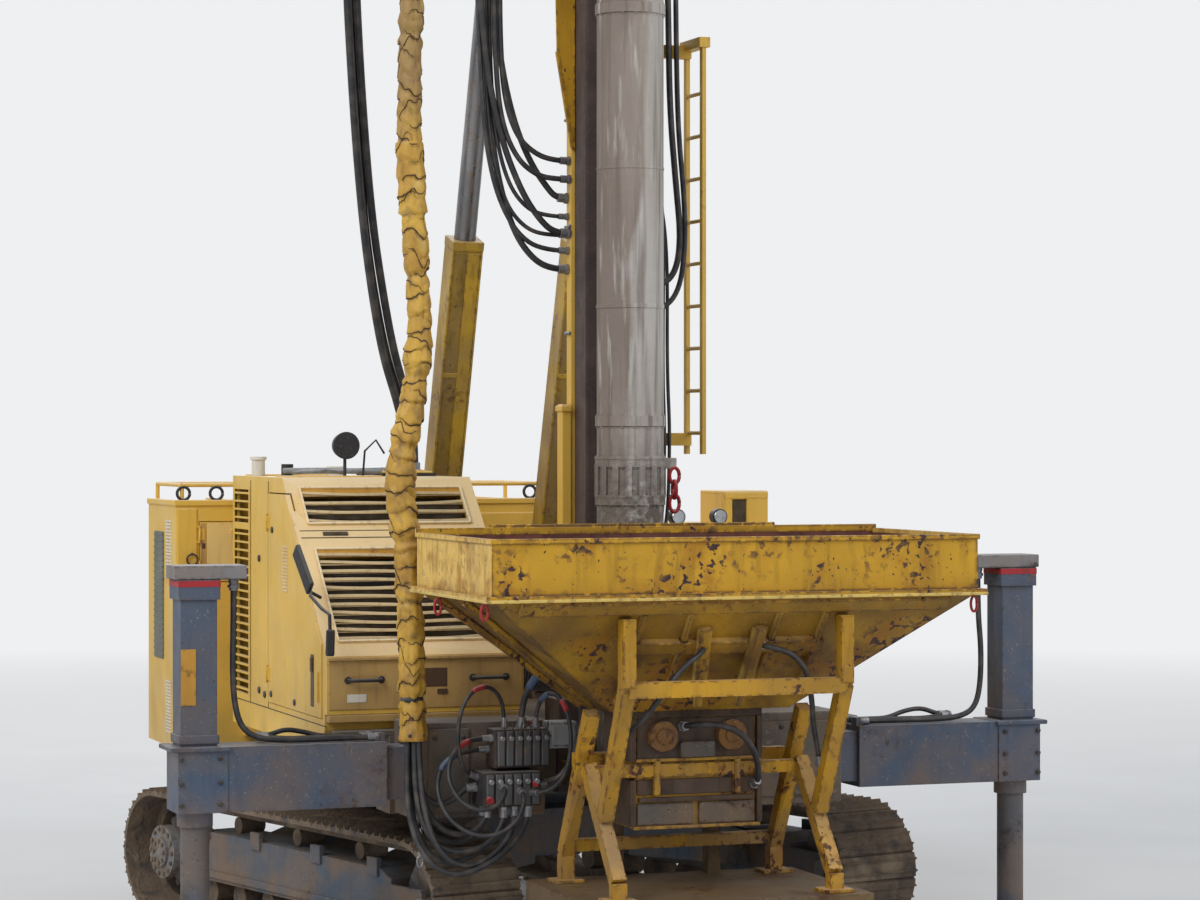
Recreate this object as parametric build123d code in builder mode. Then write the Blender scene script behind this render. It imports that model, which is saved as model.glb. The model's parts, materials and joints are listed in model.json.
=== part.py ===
from build123d import *
from math import atan2, cos, degrees, pi, radians, sin, tan
import os

os.makedirs("parts", exist_ok=True)

# Millimetres. X runs to the machine's right, Y to its rear and Z up; the ground is Z = 0.
# The origin is at the bottom centre of the whole machine without its hoses.
# Lengths from front to rear are counted from the centre plane of the outrigger beams.
beam_y = -1539.2
slew_y = beam_y + 2500
clear = 5
seat = 0.3

# Undercarriage, parked turned under the upper machine
track_turn = 15
track_gauge = 3500
track_length = 4700
track_height = 1000
shoe_width = 700
shoe_count = 52
grouser_height = 26
shoe_thickness = 34
chain_width = 200
chain_depth = 90
track_plate_inner = track_height / 2 - grouser_height - shoe_thickness
chain_inner = track_plate_inner - chain_depth
wheel_span = track_length - track_height
side_frame_width = 380
side_frame_low = 345
side_frame_high = 715
roller_radius = 95
roller_count = 7
carrier_radius = 62
hub_radius = 205
hub_reach = 150
car_body_low = 600
car_body_high = 1050
slew_ring_radius = 760
slew_ring_split = 1100

# Main frame of the upper machine
frame_low = 1150
frame_high = 1680
frame_half = 900
frame_rear = 4600
front_half = 1600
slot_half = 550
slot_depth = 1050

# Outriggers
sleeve_half_depth = 220
sleeve_low = 1160
sleeve_high = 1800
sleeve_inner_x = 630
sleeve_outer_x = 1570
arm_half_depth = 130
arm_low = 1290
arm_high = 1640
arm_inner_x = 900
box_inner_x = 1730
box_half_depth = 170
box_low = 1250
box_high = 1680
post_x = 3000
post_half = 122
post_high = 2650
block_half = 180
leg_radius = 95
leg_bore = leg_radius + seat
leg_high = 1850
foot_radius = 250
foot_thickness = 60

# Leader, the mast that carries the vibrator string and the skip
leader_half = 200
leader_front = 150
leader_rear = 500
leader_wall = 22
leader_low = 1250
leader_high = 15600
pivot_dy = 330
pivot_z = 1550
pivot_radius = 60
cheek_thickness = 90
guide_strip = 25

# Back stays with their cylinders
stay_x = 460
stay_base_dy = 3130
stay_base_z = 2100
stay_top_dy = 900
stay_top_z = 9190
stay_barrel_width = 220
stay_barrel_length = 3250
stay_rod_radius = 82
stay_pin_radius = 45
stay_bore = 84
stay_eye_width = 100
stay_eye_radius = 105
stay_eye_bore = 52

# Vibrator string
string_dy = -180
string_radius = 230
string_low = 1080
string_high = 12300
silo_radius = 320
silo_high = 13900
string_bands = (3290, 3550, 3830, 6650, 9470)

# Skip, its frame and the deck that it stands on
skip_half = 1647
skip_front = -2190
skip_rear = -590
skip_high = 3090
skip_lip = 2717
skip_throat = 1950
skip_wall = 12
deck_high = 800
deck_low = 620
leg_x = 740

# Engine hood
hood_left = -2020
hood_right = -612
hood_front = 300
hood_rear = 3070
hood_low = 1720
hood_face_low = 1830
hood_face_high = 2225
hood_top = 3430
hood_top_front = 1550
hood_wall = 40
skirt_low = 1560
deck_thickness = hood_low - frame_high

# Rear bodywork
cabinet_left = -2350
cabinet_right = 700
cabinet_front = 3580
cabinet_rear = 4600
cabinet_low = 1310
cabinet_high = 3220
weight_rear = 4950

# Operator's cab
cab_left = 950
cab_right = 1950
cab_front = 1600
cab_rear = 3200
cab_low = 1380
cab_high = 3020
cab_wall = 50


def block(x_span, y_span, z_span, mode=Mode.ADD):
    """A rectangular block between two corners, with Y counted from the beam plane."""
    middle = [(a + b) / 2 for a, b in (x_span, y_span, z_span)]
    with Locations((middle[0], beam_y + middle[1], middle[2])):
        Box(*[abs(b - a) for a, b in (x_span, y_span, z_span)], mode=mode)


def side_outline(points, x_span, mode=Mode.ADD):
    """Extrudes an outline of (Y from the beam plane, Z) points across the machine."""
    with BuildSketch(Plane.YZ.offset(x_span[0])) as outline:
        with BuildLine():
            Polyline(*[(beam_y + y, z) for y, z in points], close=True)
        make_face()
    extrude(outline.sketch, amount=x_span[1] - x_span[0], mode=mode)


def plan_outline(points, z_span, mode=Mode.ADD):
    """Extrudes a plan of (X, Y from the beam plane) points upwards."""
    with BuildSketch(Plane.XY.offset(z_span[0])) as outline:
        with BuildLine():
            Polyline(*[(x, beam_y + y) for x, y in points], close=True)
        make_face()
    extrude(outline.sketch, amount=z_span[1] - z_span[0], mode=mode)


def place(x, y, z):
    """A point whose Y is counted from the beam plane."""
    return Vector(x, beam_y + y, z)


def round_bar(start, end, radius, mode=Mode.ADD):
    """A round bar from one point to another."""
    with BuildSketch(Plane(origin=start, z_dir=end - start)) as section:
        Circle(radius)
    extrude(section.sketch, amount=(end - start).length, mode=mode)


def flat_bar(start, end, width_x, depth, mode=Mode.ADD):
    """A rectangular bar from one point to another, its width along X."""
    with BuildSketch(Plane(origin=start, x_dir=(1, 0, 0), z_dir=end - start)) as section:
        Rectangle(width_x, depth)
    extrude(section.sketch, amount=(end - start).length, mode=mode)


hinge_offset = 14
hinge_pin = 5
hinge_knuckle = 9
hinge_heights = 90


def hinge_frame(x, dy, heights, lug_x, lug_y):
    """Lugs with their pin at each hinge height; the lugs' spans are counted from the pin."""
    for z in heights:
        for low in (z - hinge_heights / 2 - 22, z + hinge_heights / 2 + 2):
            block((x + lug_x[0], x + lug_x[1]), (dy + lug_y[0], dy + lug_y[1]), (low, low + 20))
        round_bar(place(x, dy, z - hinge_heights / 2 - 22), place(x, dy, z + hinge_heights / 2 + 22), hinge_pin)


def hinge_door(x, dy, heights, leaf_x, leaf_y):
    """A knuckle on its leaf at each hinge height, bored for the pin."""
    for z in heights:
        round_bar(place(x, dy, z - hinge_heights / 2), place(x, dy, z + hinge_heights / 2), hinge_knuckle)
        block((x + leaf_x[0], x + leaf_x[1]), (dy + leaf_y[0], dy + leaf_y[1]),
              (z - hinge_heights / 2, z + hinge_heights / 2))
        round_bar(place(x, dy, z - hinge_heights), place(x, dy, z + hinge_heights), hinge_pin + 0.05,
                  mode=Mode.SUBTRACT)


# Undercarriage in its own frame: X across, Y to the rear, turned about the slewing axis
under = Location((0, slew_y, 0), (0, 0, track_turn))


def under_side(x):
    """The plane of the side view at one X of the undercarriage."""
    return Plane(under * Plane.YZ.offset(x).location)


def under_front(y):
    """The plane of the view from behind at one Y of the undercarriage."""
    return Plane(under * Plane.XZ.offset(-y).location)


def under_cylinder(x_span, y, z, radius, mode=Mode.ADD):
    """A round body along the undercarriage's X."""
    with BuildSketch(under_side(x_span[0])) as section:
        with Locations((y, z)):
            Circle(radius)
    extrude(section.sketch, amount=x_span[1] - x_span[0], mode=mode)


def track_point(distance, height):
    """A point at a distance along the shoe plates' path and a height outside them."""
    radius = track_height / 2 - grouser_height
    turn = pi * radius
    distance %= 2 * (wheel_span + turn)
    if distance < wheel_span:
        return distance - wheel_span / 2, track_height / 2 + radius + height
    distance -= wheel_span
    if distance < turn:
        angle = pi / 2 - distance / radius
        centre = wheel_span / 2
        return centre + (radius + height) * cos(angle), track_height / 2 + (radius + height) * sin(angle)
    distance -= turn
    if distance < wheel_span:
        return wheel_span / 2 - distance, track_height / 2 - radius - height
    angle = -pi / 2 - (distance - wheel_span) / radius
    centre = -wheel_span / 2
    return centre + (radius + height) * cos(angle), track_height / 2 + (radius + height) * sin(angle)


shoe_pitch = 2 * (wheel_span + pi * (track_height / 2 - grouser_height)) / shoe_count
# Share of the pitch along one shoe, and height above its plate
shoe_shape = (
    (0, -shoe_thickness * 0.7),
    (0.06, 0),
    (0.21, 0),
    (0.28, grouser_height),
    (0.35, 0),
    (0.65, 0),
    (0.72, grouser_height),
    (0.79, 0),
    (0.94, 0),
)
track_outline = [
    track_point((shoe + share) * shoe_pitch, height) for shoe in range(shoe_count) for share, height in shoe_shape
]


def track_loop(x):
    """One closed track: the shoes in its outline and the narrower chain inside them."""
    with BuildSketch(under_side(x - shoe_width / 2)) as shoes:
        with BuildLine():
            Polyline(*track_outline, close=True)
        make_face()
        with Locations((0, track_height / 2)):
            SlotCenterToCenter(wheel_span, 2 * track_plate_inner, mode=Mode.SUBTRACT)
    extrude(shoes.sketch, amount=shoe_width)
    with BuildSketch(under_side(x - chain_width / 2)) as chain:
        with Locations((0, track_height / 2)):
            SlotCenterToCenter(wheel_span, 2 * track_plate_inner + 2)
            SlotCenterToCenter(wheel_span, 2 * chain_inner, mode=Mode.SUBTRACT)
    extrude(chain.sketch, amount=chain_width)


with BuildPart() as track_left:
    track_loop(-track_gauge / 2)
track_left.part.label = "track_left"
export_step(track_left.part, "parts/track_left.step")

with BuildPart() as track_right:
    track_loop(track_gauge / 2)
track_right.part.label = "track_right"
export_step(track_right.part, "parts/track_right.step")

# Side frames: a long box whose nose and tail step down to the wheels' forks
side_reach = wheel_span / 2 - chain_inner - 20
side_frame_outline = (
    (-side_reach, side_frame_low + 40),
    (-side_reach + 120, side_frame_low),
    (side_reach - 120, side_frame_low),
    (side_reach, side_frame_low + 40),
    (side_reach, side_frame_high - 60),
    (side_reach - 160, side_frame_high),
    (-side_reach + 160, side_frame_high),
    (-side_reach, side_frame_high - 60),
)
fork_thickness = 40
with BuildPart() as track_frames:
    for side in (-1, 1):
        x = side * track_gauge / 2
        with BuildSketch(under_side(x - side_frame_width / 2)) as outline:
            with BuildLine():
                Polyline(*side_frame_outline, close=True)
            make_face()
        extrude(outline.sketch, amount=side_frame_width)
        for end in (-1, 1):
            for cheek in (-1, 1):
                cheek_x = x + cheek * (side_frame_width / 2 - fork_thickness / 2)
                with BuildSketch(under_side(cheek_x - fork_thickness / 2)) as fork:
                    with Locations((end * (side_reach + 190), track_height / 2)):
                        Rectangle(420, 240)
                    with Locations((end * wheel_span / 2, track_height / 2)):
                        Circle(71, mode=Mode.SUBTRACT)
                extrude(fork.sketch, amount=fork_thickness)
track_frames.part.label = "track_frames"
export_step(track_frames.part, "parts/track_frames.step")

# Sprockets at the rear with their final drives, idlers at the front
sprocket_teeth = 19
with BuildPart() as track_wheels:
    for side in (-1, 1):
        x = side * track_gauge / 2
        sprocket_half = 34
        with BuildSketch(under_side(x - sprocket_half)) as sprocket:
            with Locations((wheel_span / 2, track_height / 2)):
                Circle(chain_inner - 30)
                with PolarLocations(chain_inner - 30, sprocket_teeth):
                    Rectangle(56, 54)
        extrude(sprocket.sketch, amount=2 * sprocket_half)
        under_cylinder((x - 70, x + 70), -wheel_span / 2, track_height / 2, chain_inner - seat)
        for end in (-1, 1):
            under_cylinder((x - side_frame_width / 2, x + side_frame_width / 2), end * wheel_span / 2,
                           track_height / 2, 70)
        outer = x + side * side_frame_width / 2
        under_cylinder((min(outer, outer + side * 70), max(outer, outer + side * 70)),
                       wheel_span / 2, track_height / 2, hub_radius)
        under_cylinder((min(outer + side * 70, outer + side * 95), max(outer + side * 70, outer + side * 95)),
                       wheel_span / 2, track_height / 2, hub_radius * 0.55)
track_wheels.part.label = "track_wheels"
export_step(track_wheels.part, "parts/track_wheels.step")

with BuildPart() as track_rollers:
    roller_z = track_height / 2 - chain_inner + roller_radius + seat
    carrier_z = track_height / 2 + chain_inner - carrier_radius - seat
    roller_pitch = 2 * (side_reach - 160) / (roller_count - 1)
    for side in (-1, 1):
        x = side * track_gauge / 2
        for number in range(roller_count):
            y = -(side_reach - 160) + number * roller_pitch
            under_cylinder((x - chain_width / 2, x + chain_width / 2), y, roller_z, roller_radius)
        for y in (-900, 0, 900):
            under_cylinder((x - chain_width / 2, x + chain_width / 2), y, carrier_z, carrier_radius)
track_rollers.part.label = "track_rollers"
export_step(track_rollers.part, "parts/track_rollers.step")

# Car body: a drum under the slewing ring and four legs out to the side frames
car_leg_y = 820
car_leg_depth = 360
car_leg_outline = (
    (420, car_body_low),
    (track_gauge / 2 - side_frame_width / 2, 430),
    (track_gauge / 2 - side_frame_width / 2, 690),
    (track_gauge / 2 - side_frame_width / 2 - 160, 740),
    (900, car_body_high - 60),
    (420, car_body_high - 60),
)
with BuildPart() as car_body:
    with Locations(under * Location((0, 0, (car_body_low + car_body_high) / 2))):
        Cylinder(slew_ring_radius - 40, car_body_high - car_body_low)
        Box(1300, 2 * car_leg_y + car_leg_depth, car_body_high - car_body_low - 120)
    for side in (-1, 1):
        for end in (-1, 1):
            with BuildSketch(under_front(end * car_leg_y - car_leg_depth / 2)) as leg:
                with BuildLine():
                    Polyline(*[(side * x, z) for x, z in car_leg_outline], close=True)
                make_face()
            extrude(leg.sketch, amount=-car_leg_depth)
    with Locations(under * Location((0, 0, (car_body_high + slew_ring_split) / 2 - seat / 2))):
        Cylinder(slew_ring_radius, slew_ring_split - car_body_high - seat)
car_body.part.label = "car_body"
export_step(car_body.part, "parts/car_body.step")

# Upper machine
with BuildPart() as slew_ring:
    with Locations((0, slew_y, (slew_ring_split + frame_low) / 2)):
        Cylinder(slew_ring_radius, frame_low - slew_ring_split)
slew_ring.part.label = "slew_ring"
export_step(slew_ring.part, "parts/slew_ring.step")

frame_plan = (
    (-front_half, sleeve_half_depth),
    (-slot_half, sleeve_half_depth),
    (-slot_half, slot_depth),
    (slot_half, slot_depth),
    (slot_half, sleeve_half_depth),
    (front_half, sleeve_half_depth),
    (front_half, 560),
    (frame_half, 800),
    (frame_half, frame_rear),
    (-frame_half, frame_rear),
    (-frame_half, 800),
    (-front_half, 560),
)
winch_dy = 1560
winch_z = 2060
winch_half = 300
winch_radius = 190
pivot_ear_inner = 400
with BuildPart() as main_frame:
    plan_outline(frame_plan, (frame_low, frame_high))
    # Ears of the leader's pivot inside the slot
    for side in (-1, 1):
        x_span = sorted((side * pivot_ear_inner, side * slot_half))
        ear = ((pivot_dy - 110, frame_low + 130), (pivot_dy + 110, frame_low + 130), (pivot_dy + 110, 1640),
               (pivot_dy - 110, 1640))
        side_outline(ear, x_span)
    # Ears of the stays at the rear
    for side in (-1, 1):
        for cheek in (-1, 1):
            middle = side * stay_x + cheek * (stay_barrel_width / 2 + 15 + clear)
            ear = ((stay_base_dy - 260, frame_high), (stay_base_dy + 260, frame_high),
                   (stay_base_dy + 90, stay_base_z + 90), (stay_base_dy - 90, stay_base_z + 90))
            side_outline(ear, (middle - 15, middle + 15))
    # Cheeks of the hoist winch
    for side in (-1, 1):
        cheek = ((winch_dy - 330, frame_high), (winch_dy + 330, frame_high), (winch_dy + 130, winch_z + 130),
                 (winch_dy - 130, winch_z + 130))
        middle = side * (winch_half + 30)
        side_outline(cheek, (middle - 15, middle + 15))
    round_bar(place(-slot_half - 70, pivot_dy, pivot_z), place(slot_half + 70, pivot_dy, pivot_z),
              pivot_radius, mode=Mode.SUBTRACT)
    round_bar(place(-900, stay_base_dy, stay_base_z), place(900, stay_base_dy, stay_base_z),
              stay_pin_radius, mode=Mode.SUBTRACT)
    round_bar(place(-500, winch_dy, winch_z), place(500, winch_dy, winch_z), 50, mode=Mode.SUBTRACT)
main_frame.part.label = "main_frame"
export_step(main_frame.part, "parts/main_frame.step")

with BuildPart() as pivot_pins:
    round_bar(place(-slot_half - 60, pivot_dy, pivot_z), place(slot_half + 60, pivot_dy, pivot_z), pivot_radius)
    for side in (-1, 1):
        reach = stay_barrel_width / 2 + 36 + clear
        round_bar(place(side * stay_x - reach, stay_base_dy, stay_base_z),
                  place(side * stay_x + reach, stay_base_dy, stay_base_z), stay_pin_radius)
pivot_pins.part.label = "pivot_pins"
export_step(pivot_pins.part, "parts/pivot_pins.step")

with BuildPart() as winch_drum:
    with BuildSketch(Plane.YZ.offset(-winch_half)) as flange:
        with Locations((beam_y + winch_dy, winch_z)):
            Circle(winch_radius + 60)
    extrude(flange.sketch, amount=24)
    with BuildSketch(Plane.YZ.offset(-winch_half + 24)) as barrel:
        with Locations((beam_y + winch_dy, winch_z)):
            Circle(winch_radius)
    extrude(barrel.sketch, amount=2 * winch_half - 48)
    with BuildSketch(Plane.YZ.offset(winch_half - 24)) as other_flange:
        with Locations((beam_y + winch_dy, winch_z)):
            Circle(winch_radius + 60)
    extrude(other_flange.sketch, amount=24)
    round_bar(place(-winch_half - 45, winch_dy, winch_z), place(winch_half + 45, winch_dy, winch_z), 49.95)
winch_drum.part.label = "winch_drum"
export_step(winch_drum.part, "parts/winch_drum.step")

# Decks beside the main frame: under the hood, under the cab and along the front
with BuildPart() as side_decks:
    block((hood_left + 40, -frame_half), (820, hood_rear), (hood_low - 110, hood_low - deck_thickness))
    block((hood_left + 40, -slot_half), (240, stay_base_dy - 265), (hood_low - deck_thickness, hood_low))
    block((frame_half, cab_right), (cab_front - 60, cab_rear + 60), (cab_low - 90, cab_low))
    block((slot_half, 1900), (240, cab_front - 120), (hood_low - deck_thickness, hood_low))
    block((-slot_half + 30, frame_half), (stay_base_dy + 265, cabinet_front - 60), (frame_high, frame_high + 20))
side_decks.part.label = "side_decks"
export_step(side_decks.part, "parts/side_decks.step")

with BuildPart() as outrigger_sleeves:
    for side in (-1, 1):
        x_span = sorted((side * sleeve_inner_x, side * sleeve_outer_x))
        block(x_span, (-sleeve_half_depth, sleeve_half_depth), (sleeve_low, sleeve_high))
        x_span = sorted((side * (sleeve_inner_x + 40), side * (sleeve_outer_x + 10)))
        block(x_span, (-arm_half_depth - clear, arm_half_depth + clear), (arm_low - seat, arm_high + clear),
              mode=Mode.SUBTRACT)
outrigger_sleeves.part.label = "outrigger_sleeves"
export_step(outrigger_sleeves.part, "parts/outrigger_sleeves.step")


def outrigger(side):
    """Telescopic arm, outer box and upright post with its cap, bored for the leg."""
    block(sorted((side * arm_inner_x, side * box_inner_x)), (-arm_half_depth, arm_half_depth), (arm_low, arm_high))
    block(sorted((side * box_inner_x, side * (post_x - block_half))), (-box_half_depth, box_half_depth),
          (box_low, box_high))
    block(sorted((side * (post_x - block_half), side * (post_x + 150))), (-block_half, block_half),
          (box_low, box_high))
    block(sorted((side * (post_x - post_half), side * (post_x + post_half))), (-post_half, post_half),
          (box_high, post_high))
    block(sorted((side * (post_x - 140), side * (post_x + 140))), (-140, 140), (post_high, post_high + 130))
    block(sorted((side * (post_x - 300), side * (post_x + 150))), (-120, 120), (post_high + 130, post_high + 220))
    round_bar(place(side * post_x, 0, box_low - 100), place(side * post_x, 0, box_low), 118)
    block(sorted((side * box_inner_x, side * (box_inner_x + 35))), (-115, -25), (box_high, box_high + 55))
    round_bar(place(side * post_x, 0, box_low - 110), place(side * post_x, 0, post_high - 20), leg_bore,
              mode=Mode.SUBTRACT)


def outrigger_leg(side):
    """Leg tube on its round foot."""
    round_bar(place(side * post_x, 0, foot_thickness), place(side * post_x, 0, leg_high), leg_radius)
    round_bar(place(side * post_x, 0, 0), place(side * post_x, 0, foot_thickness), foot_radius)
    round_bar(place(side * post_x, 0, foot_thickness), place(side * post_x, 0, foot_thickness + 70), 150)


with BuildPart() as outrigger_left:
    outrigger(-1)
outrigger_left.part.label = "outrigger_left"
export_step(outrigger_left.part, "parts/outrigger_left.step")

with BuildPart() as outrigger_right:
    outrigger(1)
outrigger_right.part.label = "outrigger_right"
export_step(outrigger_right.part, "parts/outrigger_right.step")

with BuildPart() as leg_left:
    outrigger_leg(-1)
leg_left.part.label = "leg_left"
export_step(leg_left.part, "parts/leg_left.step")

with BuildPart() as leg_right:
    outrigger_leg(1)
leg_right.part.label = "leg_right"
export_step(leg_right.part, "parts/leg_right.step")

# Leader
with BuildPart() as leader_box:
    block((-leader_half, leader_half), (leader_front, leader_rear), (leader_low, leader_high))
    block((-leader_half + leader_wall, leader_half - leader_wall),
          (leader_front + leader_wall, leader_rear - leader_wall), (leader_low + 900, leader_high - 40),
          mode=Mode.SUBTRACT)
    for side in (-1, 1):
        x_span = sorted((side * leader_half, side * (pivot_ear_inner - clear)))
        side_outline(((pivot_dy - 150, leader_low), (pivot_dy + 150, leader_low), (pivot_dy + 150, 1900),
                      (pivot_dy - 150, 1900)), x_span)
    round_bar(place(-slot_half, pivot_dy, pivot_z), place(slot_half, pivot_dy, pivot_z), pivot_radius + 0.05,
              mode=Mode.SUBTRACT)
leader_box.part.label = "leader_box"
export_step(leader_box.part, "parts/leader_box.step")

with BuildPart() as leader_head:
    block((-leader_half, leader_half), (leader_front - 420, leader_rear + 300), (leader_high, leader_high + 60))
    for side in (-1, 1):
        head = ((leader_front - 420, leader_high + 60), (leader_rear + 300, leader_high + 60),
                (leader_rear + 120, leader_high + 520), (leader_front - 300, leader_high + 520))
        x_span = sorted((side * 110, side * 150))
        side_outline(head, x_span)
    for dy in (leader_front - 230, leader_rear + 100):
        round_bar(place(-110, dy, leader_high + 300), place(110, dy, leader_high + 300), 190)
leader_head.part.label = "leader_head"
export_step(leader_head.part, "parts/leader_head.step")

# Gusset for the stays and the yellow duct down the leader's rear left edge
duct_width = 25
with BuildPart() as stay_gusset:
    gusset = ((leader_rear, 5750), (leader_rear + 480, stay_top_z - 250), (leader_rear + 520, stay_top_z + 220),
              (leader_rear, stay_top_z + 500))
    for side in (-1, 1):
        inner = side * 150
        side_outline(gusset, sorted((inner, inner + side * 30)))
        boss = side * (stay_x - stay_eye_width / 2 - clear)
        block(sorted((inner + side * 30, boss)), (stay_top_dy - 75, stay_top_dy + 75),
              (stay_top_z - 75, stay_top_z + 75))
        round_bar(place(boss, stay_top_dy, stay_top_z), place(side * (stay_x + stay_eye_width / 2 + 15), stay_top_dy,
                  stay_top_z), stay_pin_radius)
    block((-150, 150), (leader_rear, leader_rear + 60), (6400, stay_top_z + 300))
    block((-leader_half - duct_width, -leader_half), (400, leader_rear), (1900, leader_high - 600))
stay_gusset.part.label = "stay_gusset"
export_step(stay_gusset.part, "parts/stay_gusset.step")

# Arm that carries the hose bundles out to the left
arm_z = 9500
saddle_x = -900
saddle_radius = 425
with BuildPart() as hose_arm:
    block((-1800, -leader_half - duct_width), (leader_rear - 90, leader_rear), (arm_z, arm_z + 90))
    round_bar(place(saddle_x, -150, arm_z + 120), place(saddle_x, 365, arm_z + 120), saddle_radius)
    block((saddle_x - 40, saddle_x + 40), (365, leader_rear - 90), (arm_z, arm_z + 240))
    block((-1780, -1620), (leader_rear, 1110), (arm_z + 10, arm_z + 80))
hose_arm.part.label = "hose_arm"
export_step(hose_arm.part, "parts/hose_arm.step")

ladder_x = 690
ladder_front = 205
ladder_rear = 515
ladder_low = 3600
ladder_high = 6480
with BuildPart() as ladder:
    for dy in (ladder_front, ladder_rear):
        block((ladder_x - 14, ladder_x + 14), (dy - 26, dy + 26), (ladder_low, ladder_high))
    rung_z = ladder_low + 150
    while rung_z < ladder_high - 60:
        round_bar(place(ladder_x, ladder_front + 26, rung_z), place(ladder_x, ladder_rear - 26, rung_z), 14)
        rung_z += 300
    for z in (ladder_low + 60, ladder_high - 60):
        block((leader_half, ladder_x + 14), (leader_rear - 40, leader_rear + 40), (z, z + 90))
    block((ladder_x - 40, ladder_x + 40), (ladder_front - 40, ladder_rear + 40), (ladder_high - 10, ladder_high + 60))
ladder.part.label = "ladder"
export_step(ladder.part, "parts/ladder.step")

# Deck on the leader's foot where the skip stands when it is down
deck_front = -2120
deck_rear = -760
deck_half = 950
deck_arm_inner = 300
deck_arm_outer = 390
with BuildPart() as skip_deck:
    block((-deck_half, deck_half), (deck_front, deck_rear), (deck_high - 30, deck_high))
    for side in (-1, 1):
        block(sorted((side * (deck_half - 90), side * deck_half)), (deck_front, deck_rear), (deck_low, deck_high - 30))
        arm = ((leader_front + 20, 1320), (leader_front + 20, 1480), (deck_rear - 110, 1480),
               (deck_rear - 110, deck_high), (deck_rear, deck_high), (deck_rear, 1320))
        side_outline(arm, sorted((side * deck_arm_inner, side * deck_arm_outer)))
        block(sorted((side * leader_half, side * deck_arm_outer)), (leader_front + 20, pivot_dy - 150),
              (1320, 1480))
    block((-deck_half, deck_half), (deck_front, deck_front + 90), (deck_low, deck_high - 30))
    block((-deck_half, deck_half), (deck_rear - 90, deck_rear), (deck_low, deck_high - 30))
skip_deck.part.label = "skip_deck"
export_step(skip_deck.part, "parts/skip_deck.step")

# Back stays: the yellow cylinder guards and the grey rods
stay_base = place(0, stay_base_dy, stay_base_z)
stay_top = place(0, stay_top_dy, stay_top_z)
stay_direction = (stay_top - stay_base).normalized()


def along_stay(side, distance):
    """A point on a stay's axis at a distance from its lower pin."""
    return stay_base + stay_direction * distance + Vector(side * stay_x, 0, 0)


stay_length = (stay_top - stay_base).length
with BuildPart() as stay_barrels:
    for side in (-1, 1):
        flat_bar(along_stay(side, -80), along_stay(side, stay_barrel_length), stay_barrel_width, 200)
        round_bar(along_stay(side, 250), along_stay(side, stay_barrel_length + 5), stay_bore, mode=Mode.SUBTRACT)
        pin = along_stay(side, 0)
        round_bar(pin - Vector(150, 0, 0), pin + Vector(150, 0, 0), stay_pin_radius + 0.05, mode=Mode.SUBTRACT)
stay_barrels.part.label = "stay_barrels"
export_step(stay_barrels.part, "parts/stay_barrels.step")

with BuildPart() as stay_rods:
    for side in (-1, 1):
        round_bar(along_stay(side, 700), along_stay(side, stay_length - 150), stay_rod_radius)
        flat_bar(along_stay(side, stay_length - 150), along_stay(side, stay_length - 60), stay_eye_width, 150)
        eye = along_stay(side, stay_length)
        half_eye = Vector(stay_eye_width / 2, 0, 0)
        round_bar(eye - half_eye, eye + half_eye, stay_eye_radius)
        round_bar(eye - 2 * half_eye, eye + 2 * half_eye, stay_eye_bore, mode=Mode.SUBTRACT)
stay_rods.part.label = "stay_rods"
export_step(stay_rods.part, "parts/stay_rods.step")

# Vibrator string with its flanges, guide shoes and tip
with BuildPart() as vibrator_string:
    round_bar(place(0, string_dy, string_low + 320), place(0, string_dy, string_high), string_radius)
    with Locations(place(0, string_dy, string_low + 160)):
        Cone(70, string_radius, 320)
    for z in string_bands:
        round_bar(place(0, string_dy, z - 35), place(0, string_dy, z + 35), string_radius + 12)
vibrator_string.part.label = "vibrator_string"
export_step(vibrator_string.part, "parts/vibrator_string.step")

with BuildPart() as feed_silo:
    with Locations(place(0, string_dy, string_high + 130)):
        Cone(string_radius, silo_radius, 260)
    round_bar(place(0, string_dy, string_high + 260), place(0, string_dy, silo_high), silo_radius)
    for z in (string_high + 420, silo_high - 420):
        block((-150, 150), (string_dy, leader_front - seat), (z - 120, z + 120))
feed_silo.part.label = "feed_silo"
export_step(feed_silo.part, "parts/feed_silo.step")

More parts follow.
